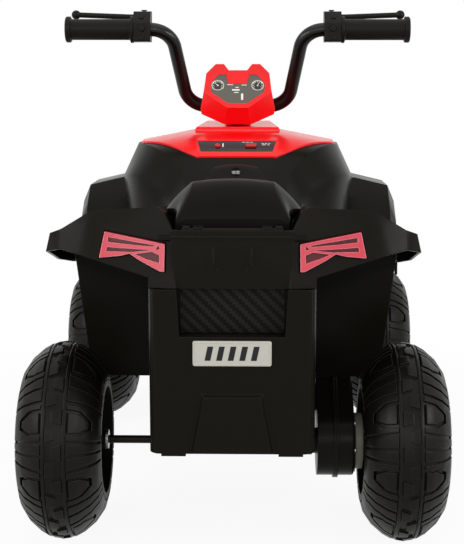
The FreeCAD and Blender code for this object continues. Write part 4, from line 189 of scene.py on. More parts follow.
class QuadStudio(bpy.types.PropertyGroup):
    """Camera, lamps and floor."""

    eye: FloatVectorProperty(name="Camera place", description="Where the camera stands",
                             default=(0.029, -1.9404, 0.6567), subtype="TRANSLATION", unit="LENGTH")
    pitch: FloatProperty(name="Pitch", description="How far the camera looks down",
                         default=math.radians(10.885), subtype="ANGLE", unit="ROTATION")
    yaw: FloatProperty(name="Yaw", description="How far the camera looks to the left",
                       default=math.radians(1.08), subtype="ANGLE", unit="ROTATION")
    lens: FloatProperty(name="Lens", description="Focal length for a 36 mm sensor",
                        default=90.37, unit="CAMERA")
    overhead: size("Overhead", "Width of the overhead softbox", 2200)
    overhead_depth: size("Overhead depth", "Depth of the overhead softbox", 2200)
    overhead_place: FloatVectorProperty(name="Overhead place", description="Where the overhead softbox hangs",
                                        default=(0, -0.25, 2.3), subtype="TRANSLATION", unit="LENGTH")
    overhead_power: FloatProperty(name="Overhead power", description="Of the overhead softbox",
                                  default=13, unit="POWER")
    key: size("Key", "Width of the key softbox behind the camera", 3200)
    key_depth: size("Key height", "Height of the key softbox", 700)
    key_place: FloatVectorProperty(name="Key place", description="Where the key softbox stands",
                                   default=(-0.2, -4.2, 1.85), subtype="TRANSLATION", unit="LENGTH")
    key_power: FloatProperty(name="Key power", description="Of the key softbox", default=42, unit="POWER")
    side: size("Side", "Width of each side softbox", 2200)
    side_depth: size("Side height", "Height of each side softbox", 520)
    side_place: FloatVectorProperty(name="Side place", description="Where the right side softbox stands",
                                    default=(2.65, -1.5, 1.55), subtype="TRANSLATION", unit="LENGTH")
    side_power: FloatProperty(name="Side power", description="Of each side softbox", default=48,
                              unit="POWER")
    ambient: FloatProperty(name="Ambient", description="Even light from all round", default=0.35)
    floor: size("Floor", "Side of the floor", 14000)
    shadow_reach: size("Shadow reach", "How far from the middle the floor shows shade", 900)


def add(tree, kind, inputs=None, **settings):
    """Adds one node: inputs hold fixed values or other nodes' outputs by socket name or place."""
    made = tree.nodes.new(kind)
    for name, value in settings.items():
        setattr(made, name, value)
    for socket, value in (inputs or {}).items():
        if isinstance(value, bpy.types.NodeSocket):
            tree.links.new(value, made.inputs[socket])
        else:
            made.inputs[socket].default_value = value
    return made


def finish(name, fixed):
    """A new material with the shader's fixed sockets set; gives it, its tree and its shader."""
    made = bpy.data.materials.new(name)
    made.use_nodes = True
    shader = made.node_tree.nodes["Principled BSDF"]
    for socket, value in fixed.items():
        shader.inputs[socket].default_value = value
    return made, made.node_tree, shader


def wire(tree, shader, **sources):
    """Joins outputs to the shader's sockets; Base_Color stands for Base Color."""
    for socket, source in sources.items():
        tree.links.new(source, shader.inputs[socket.replace("_", " ")])


def per_metre(length):
    """A pattern's scale from the size of one of its features, in metres."""
    return 1 / length


def opaque(colour):
    """A colour with the alpha that a colour socket takes."""
    return (*colour, 1)


def moulded(name, colour, edge_highlight_and_wear, grain, edge, roughness, specular, depth, pebble=False):
    """Moulded thermoplastic: a grained tool breaks up the sheen, flow shows as slow clouds of gloss,
    and the edges are painted in patches of a second colour: partly rubbing wear, partly a painted highlight
    where edges catch the light. Real grain is 0.3 to 0.6 mm, so it is drawn coarser to show."""
    made, tree, shader = finish(name, {"IOR": 1.49, "Specular IOR Level": specular})
    coords = add(tree, "ShaderNodeTexCoord").outputs["Object"]
    if pebble:
        grit = add(tree, "ShaderNodeTexVoronoi", {"Vector": coords, "Scale": per_metre(grain)},
                   feature="SMOOTH_F1").outputs["Distance"]
    else:
        grit = add(tree, "ShaderNodeTexNoise",
                   {"Vector": coords, "Scale": per_metre(grain), "Detail": 2.0}).outputs["Fac"]
    cloud = add(tree, "ShaderNodeTexNoise",
                {"Vector": coords, "Scale": per_metre(0.07), "Detail": 3.0}).outputs["Fac"]
    rounded = add(tree, "ShaderNodeBevel", {"Radius": edge}, samples=6).outputs["Normal"]
    face = add(tree, "ShaderNodeNewGeometry").outputs["Normal"]
    flat = add(tree, "ShaderNodeVectorMath", {0: rounded, 1: face}, operation="DOT_PRODUCT")
    # painted highlight, partly rubbing wear: where the rounded normal turns from the face, the edge takes the
    # second colour, in patches
    edge_wear_and_highlight_mask = add(tree, "ShaderNodeMapRange", {"Value": flat.outputs["Value"], "From Min": 0.99,
                                           "From Max": 0.75, "To Min": 0.0, "To Max": 0.7})
    patchy_edge_wear_and_highlight = add(tree, "ShaderNodeMath", {0: edge_wear_and_highlight_mask.outputs["Result"], 1: cloud}, operation="MULTIPLY")
    base = add(tree, "ShaderNodeMix", {0: patchy_edge_wear_and_highlight.outputs[0], 6: opaque(colour), 7: opaque(edge_highlight_and_wear)},
               data_type="RGBA")
    sheen = add(tree, "ShaderNodeMapRange", {"Value": cloud, "From Min": 0.3, "From Max": 0.7,
                                             "To Min": roughness - 0.06, "To Max": roughness + 0.06})
    relief = add(tree, "ShaderNodeBump", {"Height": grit, "Normal": rounded, "Strength": 0.5,
                                          "Distance": depth})
    wire(tree, shader, Base_Color=base.outputs[2], Roughness=sheen.outputs["Result"],
         Normal=relief.outputs["Normal"])
    return made


def gloss_abs(name, colour, edge_highlight_and_wear, edge, roughness, coat):
    """Gloss ABS from a polished tool: a clear, slightly wavy shine, and thin edges painted in a paler
    colour as a painted highlight. The waves are about 9 mm long, as orange peel is."""
    made, tree, shader = finish(name, {"IOR": 1.53, "Coat Weight": coat, "Coat Roughness": 0.08,
                                       "Specular IOR Level": 0.2})
    coords = add(tree, "ShaderNodeTexCoord").outputs["Object"]
    wave = add(tree, "ShaderNodeTexNoise", {"Vector": coords, "Scale": per_metre(0.009)}).outputs["Fac"]
    haze = add(tree, "ShaderNodeTexNoise", {"Vector": coords, "Scale": per_metre(0.05),
                                            "Detail": 4.0}).outputs["Fac"]
    rounded = add(tree, "ShaderNodeBevel", {"Radius": edge}, samples=6).outputs["Normal"]
    face = add(tree, "ShaderNodeNewGeometry").outputs["Normal"]
    flat = add(tree, "ShaderNodeVectorMath", {0: rounded, 1: face}, operation="DOT_PRODUCT")
    # painted highlight: where the rounded normal turns from the face, the edge takes the paler second colour
    painted_edge_highlight = add(tree, "ShaderNodeMapRange", {"Value": flat.outputs["Value"], "From Min": 0.995,
                                            "From Max": 0.75, "To Min": 0.0, "To Max": 0.75})
    base = add(tree, "ShaderNodeMix", {0: painted_edge_highlight.outputs["Result"], 6: opaque(colour), 7: opaque(edge_highlight_and_wear)},
               data_type="RGBA")
    shine = add(tree, "ShaderNodeMapRange", {"Value": haze, "From Min": 0.3, "From Max": 0.7,
                                             "To Min": roughness - 0.04, "To Max": roughness + 0.04})
    relief = add(tree, "ShaderNodeBump", {"Height": wave, "Normal": rounded, "Strength": 0.25,
                                          "Distance": 0.0002})
    wire(tree, shader, Base_Color=base.outputs[2], Roughness=shine.outputs["Result"],
         Normal=relief.outputs["Normal"])
    return made


def plated(name, colour, roughness, grain, stretch=(1, 1, 1)):
    """Plated or machined metal: a mirror broken by fine tool marks that run one way."""
    made, tree, shader = finish(name, {"Metallic": 1.0})
    coords = add(tree, "ShaderNodeTexCoord").outputs["Object"]
    lay = add(tree, "ShaderNodeMapping", {"Vector": coords, "Scale": stretch}).outputs["Vector"]
    mark = add(tree, "ShaderNodeTexNoise", {"Vector": lay, "Scale": per_metre(grain),
                                            "Detail": 3.0}).outputs["Fac"]
    dull = [c * 0.72 for c in colour]
    base = add(tree, "ShaderNodeMix", {0: mark, 6: opaque(dull), 7: opaque(colour)}, data_type="RGBA")
    shine = add(tree, "ShaderNodeMapRange", {"Value": mark, "To Min": roughness - 0.08,
                                             "To Max": roughness + 0.12})
    rounded = add(tree, "ShaderNodeBevel", {"Radius": 0.0006}, samples=4).outputs["Normal"]
    relief = add(tree, "ShaderNodeBump", {"Height": mark, "Normal": rounded, "Strength": 0.15,
                                          "Distance": 0.0001})
    wire(tree, shader, Base_Color=base.outputs[2], Roughness=shine.outputs["Result"],
         Normal=relief.outputs["Normal"])
    return made


def dress(material, *names):
    """Gives CAD nodes a material, and shades them smooth across joins that are nearly flat."""
    for name in names:
        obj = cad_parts[name]
        if not obj.material_slots:
            obj.data.materials.append(material)
        for held in obj.material_slots:
            held.material = material
        shade = obj.modifiers.new("Smooth across flat joins", "NODES")
        shade.node_group = smoothing()


def smoothing():
    """Nodes that join doubled corners and shade smooth where two faces turn by less than a crease."""
    name = "Smooth across flat joins"
    if name in bpy.data.node_groups:
        return bpy.data.node_groups[name]
    tree = bpy.data.node_groups.new(name, "GeometryNodeTree")
    for way in ("INPUT", "OUTPUT"):
        tree.interface.new_socket("Geometry", in_out=way, socket_type="NodeSocketGeometry")
    source = add(tree, "NodeGroupInput").outputs[0]
    welded = add(tree, "GeometryNodeMergeByDistance", {"Geometry": source, "Distance": 1e-6})
    turn = add(tree, "GeometryNodeInputMeshEdgeAngle").outputs["Unsigned Angle"]
    gentle = add(tree, "FunctionNodeCompare", {0: turn, 1: math.radians(28)}, operation="LESS_THAN")
    faces = add(tree, "GeometryNodeSetShadeSmooth", {"Geometry": welded.outputs[0]}, domain="FACE")
    edges = add(tree, "GeometryNodeSetShadeSmooth", {"Geometry": faces.outputs[0],
                                                     "Shade Smooth": gentle.outputs[0]}, domain="EDGE")
    add(tree, "NodeGroupOutput", {0: edges.outputs[0]})
    return tree


@functools.lru_cache(maxsize=None)
def faces_of(node):
    """A node's faces, ready to be searched."""
    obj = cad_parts[node]
    corners = [obj.matrix_world @ v.co for v in obj.data.vertices]
    return BVHTree.FromPolygons(corners, [p.vertices for p in obj.data.polygons])


def land(node, start, way, up=(0, 0, 1)):
    """Where a line from a point meets a node, as a frame: X across, Y up the face and Z out of it."""
    place, out, _, _ = faces_of(node).ray_cast(Vector(start), Vector(way))
    if place is None:
        raise RuntimeError(f"{node} isn't met from {tuple(start)}")
    if out.dot(Vector(way)) > 0:
        out = -out
    across = Vector(up).cross(out).normalized()
    turn = Matrix((across, out.cross(across), out)).transposed()
    return Matrix.Translation(place) @ turn.to_4x4()


def raised(bm, base, outline, foot, top, slope=0.0):
    """An outline on a frame, raised from foot to top, its upper edge drawn in by the slope."""
    middle = sum((Vector(p) for p in outline), Vector((0, 0))) / len(outline)
    levels = ((foot, 0), (top - slope, 0), (top, slope)) if slope else ((foot, 0), (top, 0))
    rings = []
    for height, inset in levels:
        ring = []
        for point in outline:
            inward = middle - Vector(point)
            flat = Vector(point) + inward.normalized() * min(inset, 0.5 * inward.length)
            ring.append(bm.verts.new(base @ Vector((flat.x, flat.y, height))))
        rings.append(ring)
    bm.faces.new(rings[0][::-1])
    bm.faces.new(rings[-1])
    for low, high in zip(rings, rings[1:]):
        for i in range(len(low)):
            j = (i + 1) % len(low)
            bm.faces.new((low[i], low[j], high[j], high[i]))


def bar(bm, base, at, spans, top, slope=0.0, slant=0.0):
    """A flat bar on a frame, centred at a place on it, sunk a little into what carries it."""
    x, y, w, h = *at, spans[0] / 2, spans[1] / 2
    corners = [(x - w - slant, y - h), (x + w - slant, y - h), (x + w + slant, y + h), (x - w + slant, y + h)]
    raised(bm, base, corners, -SUNK, top, slope)


def turned(bm, base, profile, steps=40):
    """A profile of (radius, height) turned about a frame's Z; one that is off the axis is closed."""
    ring = [bm.verts.new(base @ Vector((r, 0, h))) for r, h in profile]
    pairs = list(zip(ring, ring[1:]))
    if profile[0][0] > 0:
        pairs.append((ring[-1], ring[0]))
    edges = [bm.edges.new(pair) for pair in pairs]
    bmesh.ops.spin(bm, geom=ring + edges, cent=base.translation, axis=base.to_3x3().col[2],
                   angle=2 * math.pi, steps=steps, use_merge=True)
    bmesh.ops.remove_doubles(bm, verts=bm.verts, dist=1e-7)


def trim(name, body, material, bm):
    """A piece of trim from a mesh being built: smooth but for its edges, and carried by a body."""
    bmesh.ops.recalc_face_normals(bm, faces=bm.faces)
    for face in bm.faces:
        face.smooth = True
    for edge in bm.edges:
        edge.smooth = edge.calc_face_angle(0) < math.radians(28)
    mesh = bpy.data.meshes.new(name)
    bm.to_mesh(mesh)
    bm.free()
    mesh.materials.append(material)
    made = bpy.data.objects.new(name, mesh)
    bpy.context.scene.collection.objects.link(made)
    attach(made, body)


def scaled(points):
    """Points given in millimetres, in metres."""
    return [tuple(v / 1000 for v in point) for point in points]


def colours():
    """The scene's finish colours."""
    return bpy.context.scene.quad_colours


def sizes():
    """The scene's trim sizes."""
    return bpy.context.scene.quad_sizes


def printed():
    """Pale pad-printing ink, made once: a flat film, slightly uneven where it thins."""
    name = "Pad-printing ink"
    found = bpy.data.materials.get(name)
    if found:
        return found
    c = colours()
    return moulded(name, c.mark, c.bezel, grain=0.001, edge=0.0001, roughness=0.5, specular=0.3,
                   depth=0.00005)


def weave(name, colour, light, strand):
    """Carbon-look film: a twill of strands, each pair over two and under two, so that light picks out
    slanting steps. A real strand is 2 mm, so it is drawn coarser to show."""
    made, tree, shader = finish(name, {"Coat Weight": 0.02, "Coat Roughness": 0.1,
                                       "Specular IOR Level": 0.04})
    coords = add(tree, "ShaderNodeTexCoord").outputs["Object"]
    place = add(tree, "ShaderNodeSeparateXYZ", {0: coords}).outputs
    steps = []
    for axis in ("X", "Z"):
        part = add(tree, "ShaderNodeMath", {0: place[axis], 1: per_metre(strand)}, operation="MULTIPLY")
        steps.append(add(tree, "ShaderNodeMath", {0: part.outputs[0]}, operation="FLOOR").outputs[0])
    total = add(tree, "ShaderNodeMath", {0: steps[0], 1: steps[1]}, operation="ADD")
    turn = add(tree, "ShaderNodeMath", {0: total.outputs[0], 1: 4.0}, operation="FLOORED_MODULO")
    over = add(tree, "ShaderNodeMath", {0: turn.outputs[0], 1: 1.5}, operation="LESS_THAN").outputs[0]
    base = add(tree, "ShaderNodeMix", {0: over, 6: opaque(colour), 7: opaque(light)}, data_type="RGBA")
    shine = add(tree, "ShaderNodeMapRange", {"Value": over, "To Min": 0.5, "To Max": 0.3})
    relief = add(tree, "ShaderNodeBump", {"Height": over, "Strength": 0.3, "Distance": 0.0003})
    wire(tree, shader, Base_Color=base.outputs[2], Roughness=shine.outputs["Result"],
         Normal=relief.outputs["Normal"])
    return made


def body_finish():
    """The black polypropylene that most of the body shares, made once."""
    name = "Moulded black polypropylene"
    found = bpy.data.materials.get(name)
    if found:
        return found
    c, s = colours(), sizes()
    return moulded(name, c.body, c.body_edge_wear_and_highlight, s.grain, s.edge, roughness=0.3, specular=0.055, depth=0.0001)


class QUAD_OT_body(bpy.types.Operator):
    """Grained black polypropylene on the body, covers, fenders, bumper and drive cases"""
    bl_idname = "quad.body"
    bl_label = "Body Mouldings"

    def execute(self, context):
        dress(body_finish(), "lower_body", "rear_cover", "front_cover", "front_fender_left",
              "front_fender_right", "front_bumper", "gearbox_inner_case", "gearbox_outer_case",
              "motor", "foot_pedal")
        return {"FINISHED"}


class QUAD_OT_red_covers(bpy.types.Operator):
    """Gloss red ABS on the tank cover and dash housing"""
    bl_idname = "quad.red_covers"
    bl_label = "Red Covers"

    def execute(self, context):
        c = colours()
        dress(gloss_abs("Gloss red ABS", c.red, c.red_edge_highlight, sizes().edge, roughness=0.24, coat=0.06),
              "tank_cover", "dash_housing")
        return {"FINISHED"}


class QUAD_OT_seat(bpy.types.Operator):
    """Satin pebbled polypropylene on the seat"""
    bl_idname = "quad.seat"
    bl_label = "Seat"

    def execute(self, context):
        c, s = colours(), sizes()
        dress(moulded("Satin seat polypropylene", c.seat, c.body_edge_wear_and_highlight, s.seat_grain, s.edge,
                      roughness=0.34, specular=0.06, depth=0.0001, pebble=True), "seat")
        return {"FINISHED"}


class QUAD_OT_wheels(bpy.types.Operator):
    """Matt blow-moulded tyres and satin rims"""
    bl_idname = "quad.wheels"
    bl_label = "Wheels"

    def execute(self, context):
        c, s = colours(), sizes()
        tyre = moulded("Blow-moulded polyethylene", c.tyre, c.tyre_edge_wear_and_highlight, 1.2 * s.grain, s.edge,
                       roughness=0.36, specular=0.11, depth=0.00015)
        rim = moulded("Moulded rim polypropylene", c.rim, c.rim_worn, s.grain, s.edge,
                      roughness=0.45, specular=0.05, depth=0.0002)
        for end in ("front", "rear"):
            for side, _ in SIDES:
                dress(tyre, f"tyre_{end}_{side}")
                dress(rim, f"rim_{end}_{side}")
        return {"FINISHED"}


class QUAD_OT_handlebar(bpy.types.Operator):
    """Powder-coated tube, rubber grips, levers, and perches with their thumb keys"""
    bl_idname = "quad.handlebar"
    bl_label = "Handlebar"

    def execute(self, context):
        c, s = colours(), sizes()
        tube = gloss_abs("Black powder-coated steel", c.tube, c.body_edge_wear_and_highlight, edge=0.0005, roughness=0.3,
                         coat=0.05)
        grip = moulded("Moulded grip rubber", c.rubber, c.body_edge_wear_and_highlight, s.grain, s.edge, roughness=0.45,
                       specular=0.1, depth=0.0002)
        lever = moulded("Glass-filled nylon", c.rubber, c.body_edge_wear_and_highlight, s.grain, 0.5 * s.edge,
                        roughness=0.4, specular=0.12, depth=0.0002)
        dress(tube, "handlebar", "steering_column")
        dress(grip, "grip_left", "grip_right")
        dress(lever, "lever_perch_left", "lever_perch_right", "brake_lever_left", "brake_lever_right",
              "horn_button", "light_button")
        keys = bmesh.new()
        for side, sign in SIDES:
            for rise in (s.key_low, s.key_high):
                base = land(f"lever_perch_{side}", (sign * s.key_spread, BEHIND, rise), (0, 1, 0))
                raised(keys, base, scaled(KEY), -DEEP, top=0.0014, slope=0.0005)
        trim("perch_keys", "steering", lever, keys)
        return {"FINISHED"}


class QUAD_OT_controls(bpy.types.Operator):
    """Gloss control panel with its plain marks, red button and rocker"""
    bl_idname = "quad.controls"
    bl_label = "Control Panel"

    def execute(self, context):
        c, s = colours(), sizes()
        dress(gloss_abs("Gloss black ABS", c.panel, c.body_edge_wear_and_highlight, 0.5 * s.edge, roughness=0.2, coat=0.1),
              "control_panel")
        dress(gloss_abs("Gloss red button ABS", c.button, c.red_edge_highlight, edge=0.0004, roughness=0.25,
                        coat=0.3), "power_button", "direction_rocker")
        marks = bmesh.new()
        for printed_bar in PANEL_BARS:
            place, spans = scaled(printed_bar)
            base = land("control_panel", (*place, ABOVE), (0, 0, -1), (0, 1, 0))
            bar(marks, base, (0, 0), spans, s.mark_height, SLOPE)
        trim("panel_marks", "chassis", printed(), marks)
        return {"FINISHED"}


class QUAD_OT_dash(bpy.types.Operator):
    """Smoked display with two gauges and plain marks"""
    bl_idname = "quad.dash"
    bl_label = "Dash Display"

    def execute(self, context):
        c, s = colours(), sizes()
        g = s.gauge
        dress(gloss_abs("Smoked acrylic", c.smoke, c.mark, edge=0.0005, roughness=0.12, coat=0.4),
              "dash_lens")
        rings, dials, marks = bmesh.new(), bmesh.new(), bmesh.new()
        for side, needle in ((-1, 50), (1, -25)):
            base = self.display(side * s.gauge_spread, s.gauge_rise)
            turned(rings, base, [(0.80 * g, -DEEP), (0.80 * g, 0.0003), (0.86 * g, 0.0007),
                                 (0.96 * g, 0.0007), (g, 0.0003), (g, -DEEP)])
            turned(dials, base, [(0, 0.0002), (0.82 * g, 0.0002), (0.82 * g, -DEEP)])
            for k in range(9):
                tick = base @ Matrix.Rotation(math.radians(120 - 30 * k), 4, "Z")
                bar(marks, tick, (0, 0.66 * g), (0.08 * g, 0.18 * g), 0.0004)
            hand = base @ Matrix.Rotation(math.radians(needle), 4, "Z")
            raised(marks, hand, [(-0.06 * g, -0.15 * g), (0.06 * g, -0.15 * g), (0.02 * g, 0.56 * g),
                                 (-0.02 * g, 0.56 * g)], foot=0.0001, top=0.0006)
            turned(marks, base, [(0, 0.0008), (0.10 * g, 0.0008), (0.13 * g, 0.0001)], steps=20)
        for printed_bar in DISPLAY_BARS:
            place, spans = scaled(printed_bar)
            bar(marks, self.display(*place), (0, 0), spans, s.mark_height)
        plating = plated("Plated gauge ring", c.bezel, roughness=0.3, grain=0.004)
        film = gloss_abs("Black dial film", c.body, c.body_edge_wear_and_highlight, edge=0.0002, roughness=0.25, coat=0.3)
        trim("gauge_rings", "steering", plating, rings)
        trim("gauge_dials", "steering", film, dials)
        trim("display_marks", "steering", printed(), marks)
        return {"FINISHED"}

    def display(self, across, rise):
        """The frame of a place on the display, measured from its middle across and up it."""
        low, high = (Vector(corner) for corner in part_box("dash_lens"))
        tilt = math.atan2(high.y - low.y, high.z - low.z)
        up = Vector((0, math.sin(tilt), math.cos(tilt)))
        out = Vector((0, -math.cos(tilt), math.sin(tilt)))
        start = (low + high) / 2 + Vector((across, 0, 0)) + up * rise + out * (high - low).length
        return land("dash_lens", start, -out)


class QUAD_OT_lamps(bpy.types.Operator):
    """Pink-red tail lamps with dark lenses in their slots that also paint the slots' shade, and clear
    headlamps with a ring and dome each
    """
    bl_idname = "quad.lamps"
    bl_label = "Lamps"

    def execute(self, context):
        c, s = colours(), sizes()
        dress(gloss_abs("Pearl pink-red ABS", c.lamp, c.lamp_edge_highlight, s.edge, roughness=0.26, coat=0.15),
              "tail_lamp_left", "tail_lamp_right")
        clear = gloss_abs("Clear polycarbonate over silvering", c.clear, c.mark, edge=0.0005,
                          roughness=0.12, coat=0.5)
        dress(clear, "headlamps")
        slots, domes, rings = bmesh.new(), bmesh.new(), bmesh.new()
        for side, sign in SIDES:
            for outline in LAMP_SLOTS:
                self.insert(slots, f"tail_lamp_{side}", [(sign * x, z) for x, z in scaled(outline)])
            base = land("headlamps", (sign * s.headlamp_spread, AHEAD, s.headlamp_rise), (0, -1, 0))
            turned(domes, base, scaled(HEADLAMP_DOME))
            turned(rings, base, scaled(HEADLAMP_RING))
        # dark lenses in the slots: a darker red lens that also paints the shade inside the recessed slots
        slot_lens_and_shade = gloss_abs("Dark red lamp ABS and painted slot shade", c.lamp_slot_lens_and_shade, c.lamp, edge=0.0003, roughness=0.3, coat=0.05)
        plating = plated("Plated lamp ring", c.bezel, roughness=0.3, grain=0.004)
        trim("lamp_slot_shade_inserts", "chassis", slot_lens_and_shade, slots)
        trim("headlamp_domes", "chassis", clear, domes)
        trim("headlamp_rings", "chassis", plating, rings)
        return {"FINISHED"}

    def insert(self, bm, node, outline):
        """A dark lens that lies on the floor of a slot, a little smaller than it; it also paints the slot's
        shade.
        """
        x, z = (sum(v) / len(outline) for v in zip(*outline))
        base = land(node, (x, BEHIND, z), (0, 1, 0))
        place, out = base.translation, base.to_3x3().col[2]
        flat = []
        for px, pz in outline:
            py = place.y - (out.x * (px - place.x) + out.z * (pz - place.z)) / out.y
            local = base.inverted() @ Vector((px, py, pz))
            flat.append((0.95 * local.x, 0.92 * local.y))
        raised(bm, base, flat, -SUNK, top=0.0012, slope=0.0003)


class QUAD_OT_plate(bpy.types.Operator):
    """Silver plate with its rim and plain bars, and the carbon-look insert above it"""
    bl_idname = "quad.plate"
    bl_label = "Plate and Insert"

    def execute(self, context):
        c, s = colours(), sizes()
        silver = plated("Brushed silver plating", c.plate, roughness=0.42, grain=0.002, stretch=(1, 1, 8))
        dress(silver, "number_plate")
        dress(weave("Carbon-look film", c.rim, c.rim_worn, s.weave), "rear_insert")
        low, high = (Vector(corner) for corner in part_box("number_plate"))
        middle = (low + high) / 2
        base = land("number_plate", (middle.x, BEHIND, middle.z), (0, 1, 0))
        rim, bars = bmesh.new(), bmesh.new()
        margin, r = 0.0012, s.plate_rim
        w, h = (high.x - low.x) / 2 - margin, (high.z - low.z) / 2 - margin
        outer = [(-w, -h), (w, -h), (w, h), (-w, h)]
        inner = [(r - w, r - h), (w - r, r - h), (w - r, h - r), (r - w, h - r)]
        for i in range(4):
            j = (i + 1) % 4
            raised(rim, base, [outer[i], outer[j], inner[j], inner[i]], -SUNK, top=0.0005, slope=0.0002)
        for k in range(-2, 3):
            bar(bars, base, (s.bar_pitch * k, 0), (s.bar_width, s.bar_height), s.mark_height, SLOPE,
                s.bar_slant)
        ink = moulded("Dark embossing ink", c.plate_bar, c.body_edge_wear_and_highlight, grain=0.002, edge=0.0002,
                      roughness=0.45, specular=0.3, depth=0.0001)
        trim("plate_rim", "chassis", silver, rim)
        trim("plate_bars", "chassis", ink, bars)
        return {"FINISHED"}


class QUAD_OT_drive(bpy.types.Operator):
    """Zinc-plated and blackened steel, brass, nylon, case screws and the battery with its terminals"""
    bl_idname = "quad.drive"
    bl_label = "Drive and Steering"

    def execute(self, context):
        c, s = colours(), sizes()
        steel = plated("Zinc-plated steel", c.steel, roughness=0.34, grain=0.004)
        dress(steel, "rear_axle_nuts", "knuckle_left", "knuckle_right", "spindle_nut_left",
              "spindle_nut_right", "tie_rod", "seat_screw", "charge_socket")
        dress(plated("Black-oxide steel", c.black_steel, roughness=0.5, grain=0.004), "rear_axle",
              "front_axle", "kingpins", "lever_pins", "pivot_pins", "idler_pin")
        dress(plated("Machined brass", c.brass, roughness=0.3, grain=0.003, stretch=(6, 1, 1)),
              "motor_pinion")
        dress(moulded("Natural nylon", c.nylon, c.mark, grain=0.003, edge=0.0006, roughness=0.4,
                      specular=0.4, depth=0.0001), "idler_gear", "axle_bushes", "column_bushes")
        dress(moulded("Grey acetal", c.coupling, c.nylon, grain=0.003, edge=0.0006, roughness=0.45,
                      specular=0.3, depth=0.0001), "drive_gear")
        dress(moulded("Grey battery ABS", c.battery, c.nylon, grain=0.002, edge=0.0008, roughness=0.45,
                      specular=0.4, depth=0.0002), "battery")
        screws, blades = bmesh.new(), bmesh.new()
        r = s.screw
        for y, z in scaled(CASE_SCREWS):
            base = land("gearbox_outer_case", (BESIDE, y, z), (-1, 0, 0))
            turned(screws, base, [(0, 0.25 * r), (0.36 * r, 0.25 * r), (0.42 * r, 0.6 * r),
                                  (0.75 * r, 0.6 * r), (r, 0.35 * r), (r, -0.1 * r)], steps=24)
        low, high = (Vector(corner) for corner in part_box("battery"))
        for side in (-1, 1):
            across = (low.x + high.x) / 2 + side * 0.2 * (high.x - low.x)
            along = 0.7 * low.y + 0.3 * high.y
            base = land("battery", (across, along, ABOVE), (0, 0, -1), (0, 1, 0))
            for width, depth, height in scaled(TERMINAL):
                bar(blades, base, (0, 0), (width, depth), height, slope=0.0003)
        trim("case_screws", "chassis", steel, screws)
        trim("battery_terminals", "chassis", steel, blades)
        return {"FINISHED"}


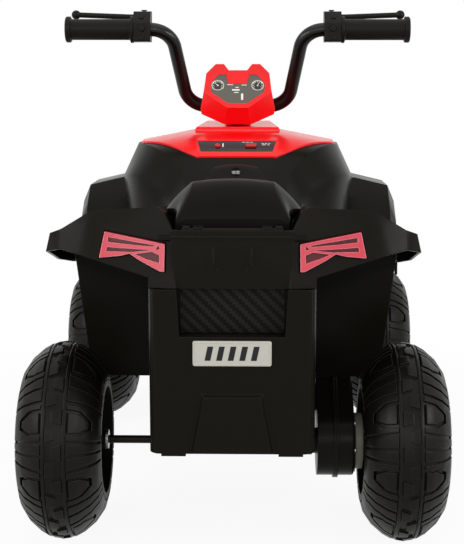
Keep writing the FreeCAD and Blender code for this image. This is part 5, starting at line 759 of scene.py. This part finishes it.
class QUAD_OT_studio(bpy.types.Operator):
    """Pale floor, softboxes, white surround and the camera"""
    bl_idname = "quad.studio"
    bl_label = "Studio"

    def execute(self, context):
        scene, st = context.scene, context.scene.quad_studio
        mesh = bpy.data.meshes.new("studio_floor")
        half = st.floor / 2
        mesh.from_pydata([(-half, -half, 0), (half, -half, 0), (half, half, 0), (-half, half, 0)], [],
                         [(0, 1, 2, 3)])
        floor = bpy.data.objects.new("studio_floor", mesh)
        scene.collection.objects.link(floor)
        mesh.materials.append(self.paper())
        self.surround(scene)
        self.softbox("overhead_softbox", (st.overhead, st.overhead_depth), st.overhead_power,
                     st.overhead_place)
        self.softbox("key_softbox", (st.key, st.key_depth), st.key_power, st.key_place)
        for side, sign in SIDES:
            self.softbox(f"{side}_softbox", (st.side, st.side_depth), st.side_power,
                         (sign * st.side_place[0], st.side_place[1], st.side_place[2]))
        lens = bpy.data.cameras.new("photo_camera")
        lens.lens, lens.sensor_width, lens.sensor_fit = st.lens, 36, "AUTO"
        camera = bpy.data.objects.new("photo_camera", lens)
        camera.location = st.eye
        camera.rotation_euler = (math.radians(90) - st.pitch, 0, st.yaw)
        scene.collection.objects.link(camera)
        scene.camera = camera
        scene.view_settings.view_transform = "Standard"
        return {"FINISHED"}

    def softbox(self, name, spans, power, place):
        """A flat lamp that faces the middle of the quad."""
        lamp = bpy.data.lights.new(name, "AREA")
        lamp.shape, lamp.energy = "RECTANGLE", power
        lamp.size, lamp.size_y = spans
        stand = bpy.data.objects.new(name, lamp)
        stand.location = place
        aim = Vector((0, 0, 0.3)) - Vector(place)
        stand.rotation_euler = aim.to_track_quat("-Z", "Y").to_euler()
        bpy.context.scene.collection.objects.link(stand)

    def paper(self):
        """White background paper: even, with a pale, soft shadow where the wheels stand."""
        made = bpy.data.materials.new("White background paper")
        made.use_nodes = True
        tree = made.node_tree
        tree.nodes.clear()
        coords = add(tree, "ShaderNodeTexCoord").outputs["Object"]
        fibre = add(tree, "ShaderNodeTexNoise", {"Vector": coords, "Scale": per_metre(0.004)})
        shade = opaque(colours().floor)
        tone = add(tree, "ShaderNodeMix", {0: fibre.outputs["Fac"], 6: shade, 7: (1, 1, 1, 1)},
                   data_type="RGBA")
        matt = add(tree, "ShaderNodeBsdfDiffuse", {"Color": tone.outputs[2]})
        glow = add(tree, "ShaderNodeEmission", {"Color": (1, 1, 1, 1), "Strength": 1.0})
        seen = self.seen(tree)
        away = add(tree, "ShaderNodeVectorMath", {0: coords}, operation="LENGTH").outputs["Value"]
        reach = bpy.context.scene.quad_studio.shadow_reach
        even = add(tree, "ShaderNodeMapRange", {"Value": away, "From Min": 0.5 * reach, "From Max": reach,
                                                "To Min": 0.92, "To Max": 1.0})
        share = add(tree, "ShaderNodeMath", {0: seen, 1: even.outputs["Result"]}, operation="MULTIPLY")
        mixed = add(tree, "ShaderNodeMixShader", {0: share.outputs[0], 1: matt.outputs[0],
                                                  2: glow.outputs[0]})
        add(tree, "ShaderNodeOutputMaterial", {"Surface": mixed.outputs[0]})
        return made

    def seen(self, tree):
        """1 for rays from the camera, from a shine and through glass, and 0 for scattered light."""
        path = add(tree, "ShaderNodeLightPath").outputs
        first = add(tree, "ShaderNodeMath", {0: path["Is Camera Ray"], 1: path["Is Glossy Ray"]},
                    operation="MAXIMUM")
        return add(tree, "ShaderNodeMath", {0: first.outputs[0], 1: path["Is Transmission Ray"]},
                   operation="MAXIMUM").outputs[0]

    def surround(self, scene):
        """White all round to the eye and in reflections, and a lower even light on the object."""
        world = bpy.data.worlds.new("White surround")
        world.use_nodes = True
        tree = world.node_tree
        tree.nodes.clear()
        level = add(tree, "ShaderNodeMapRange", {"Value": self.seen(tree), "To Max": 1.0,
                                                 "To Min": scene.quad_studio.ambient})
        back = add(tree, "ShaderNodeBackground", {"Color": (1, 1, 1, 1),
                                                  "Strength": level.outputs["Result"]})
        add(tree, "ShaderNodeOutputWorld", {"Surface": back.outputs[0]})
        scene.world = world


STEPS = (QUAD_OT_body, QUAD_OT_red_covers, QUAD_OT_seat, QUAD_OT_wheels, QUAD_OT_handlebar,
         QUAD_OT_controls, QUAD_OT_dash, QUAD_OT_lamps, QUAD_OT_plate, QUAD_OT_drive, QUAD_OT_studio)
GROUPS = {"quad_colours": QuadColours, "quad_sizes": QuadSizes, "quad_studio": QuadStudio}


class QUAD_PT_finishes(bpy.types.Panel):
    """Sizes and colours of the finishes, and the steps that put them on"""
    bl_idname = "QUAD_PT_finishes"
    bl_label = "Quad Bike"
    bl_space_type = "VIEW_3D"
    bl_region_type = "UI"
    bl_category = "Quad Bike"

    def draw(self, context):
        for group in GROUPS:
            box = self.layout.box()
            held = getattr(context.scene, group)
            for name in held.bl_rna.properties.keys():
                if name not in ("rna_type", "name"):
                    box.prop(held, name)
        for step in STEPS:
            self.layout.operator(step.bl_idname)


CLASSES = (*GROUPS.values(), *STEPS, QUAD_PT_finishes)


def register():
    for made in CLASSES:
        bpy.utils.register_class(made)
    for name, group in GROUPS.items():
        setattr(bpy.types.Scene, name, PointerProperty(type=group))


def unregister():
    for name in GROUPS:
        delattr(bpy.types.Scene, name)
    for made in reversed(CLASSES):
        bpy.utils.unregister_class(made)


def main():
    """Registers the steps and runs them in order."""
    register()
    for step in STEPS:
        group, name = step.bl_idname.split(".")
        getattr(getattr(bpy.ops, group), name)()


if __name__ == "__main__":
    main()
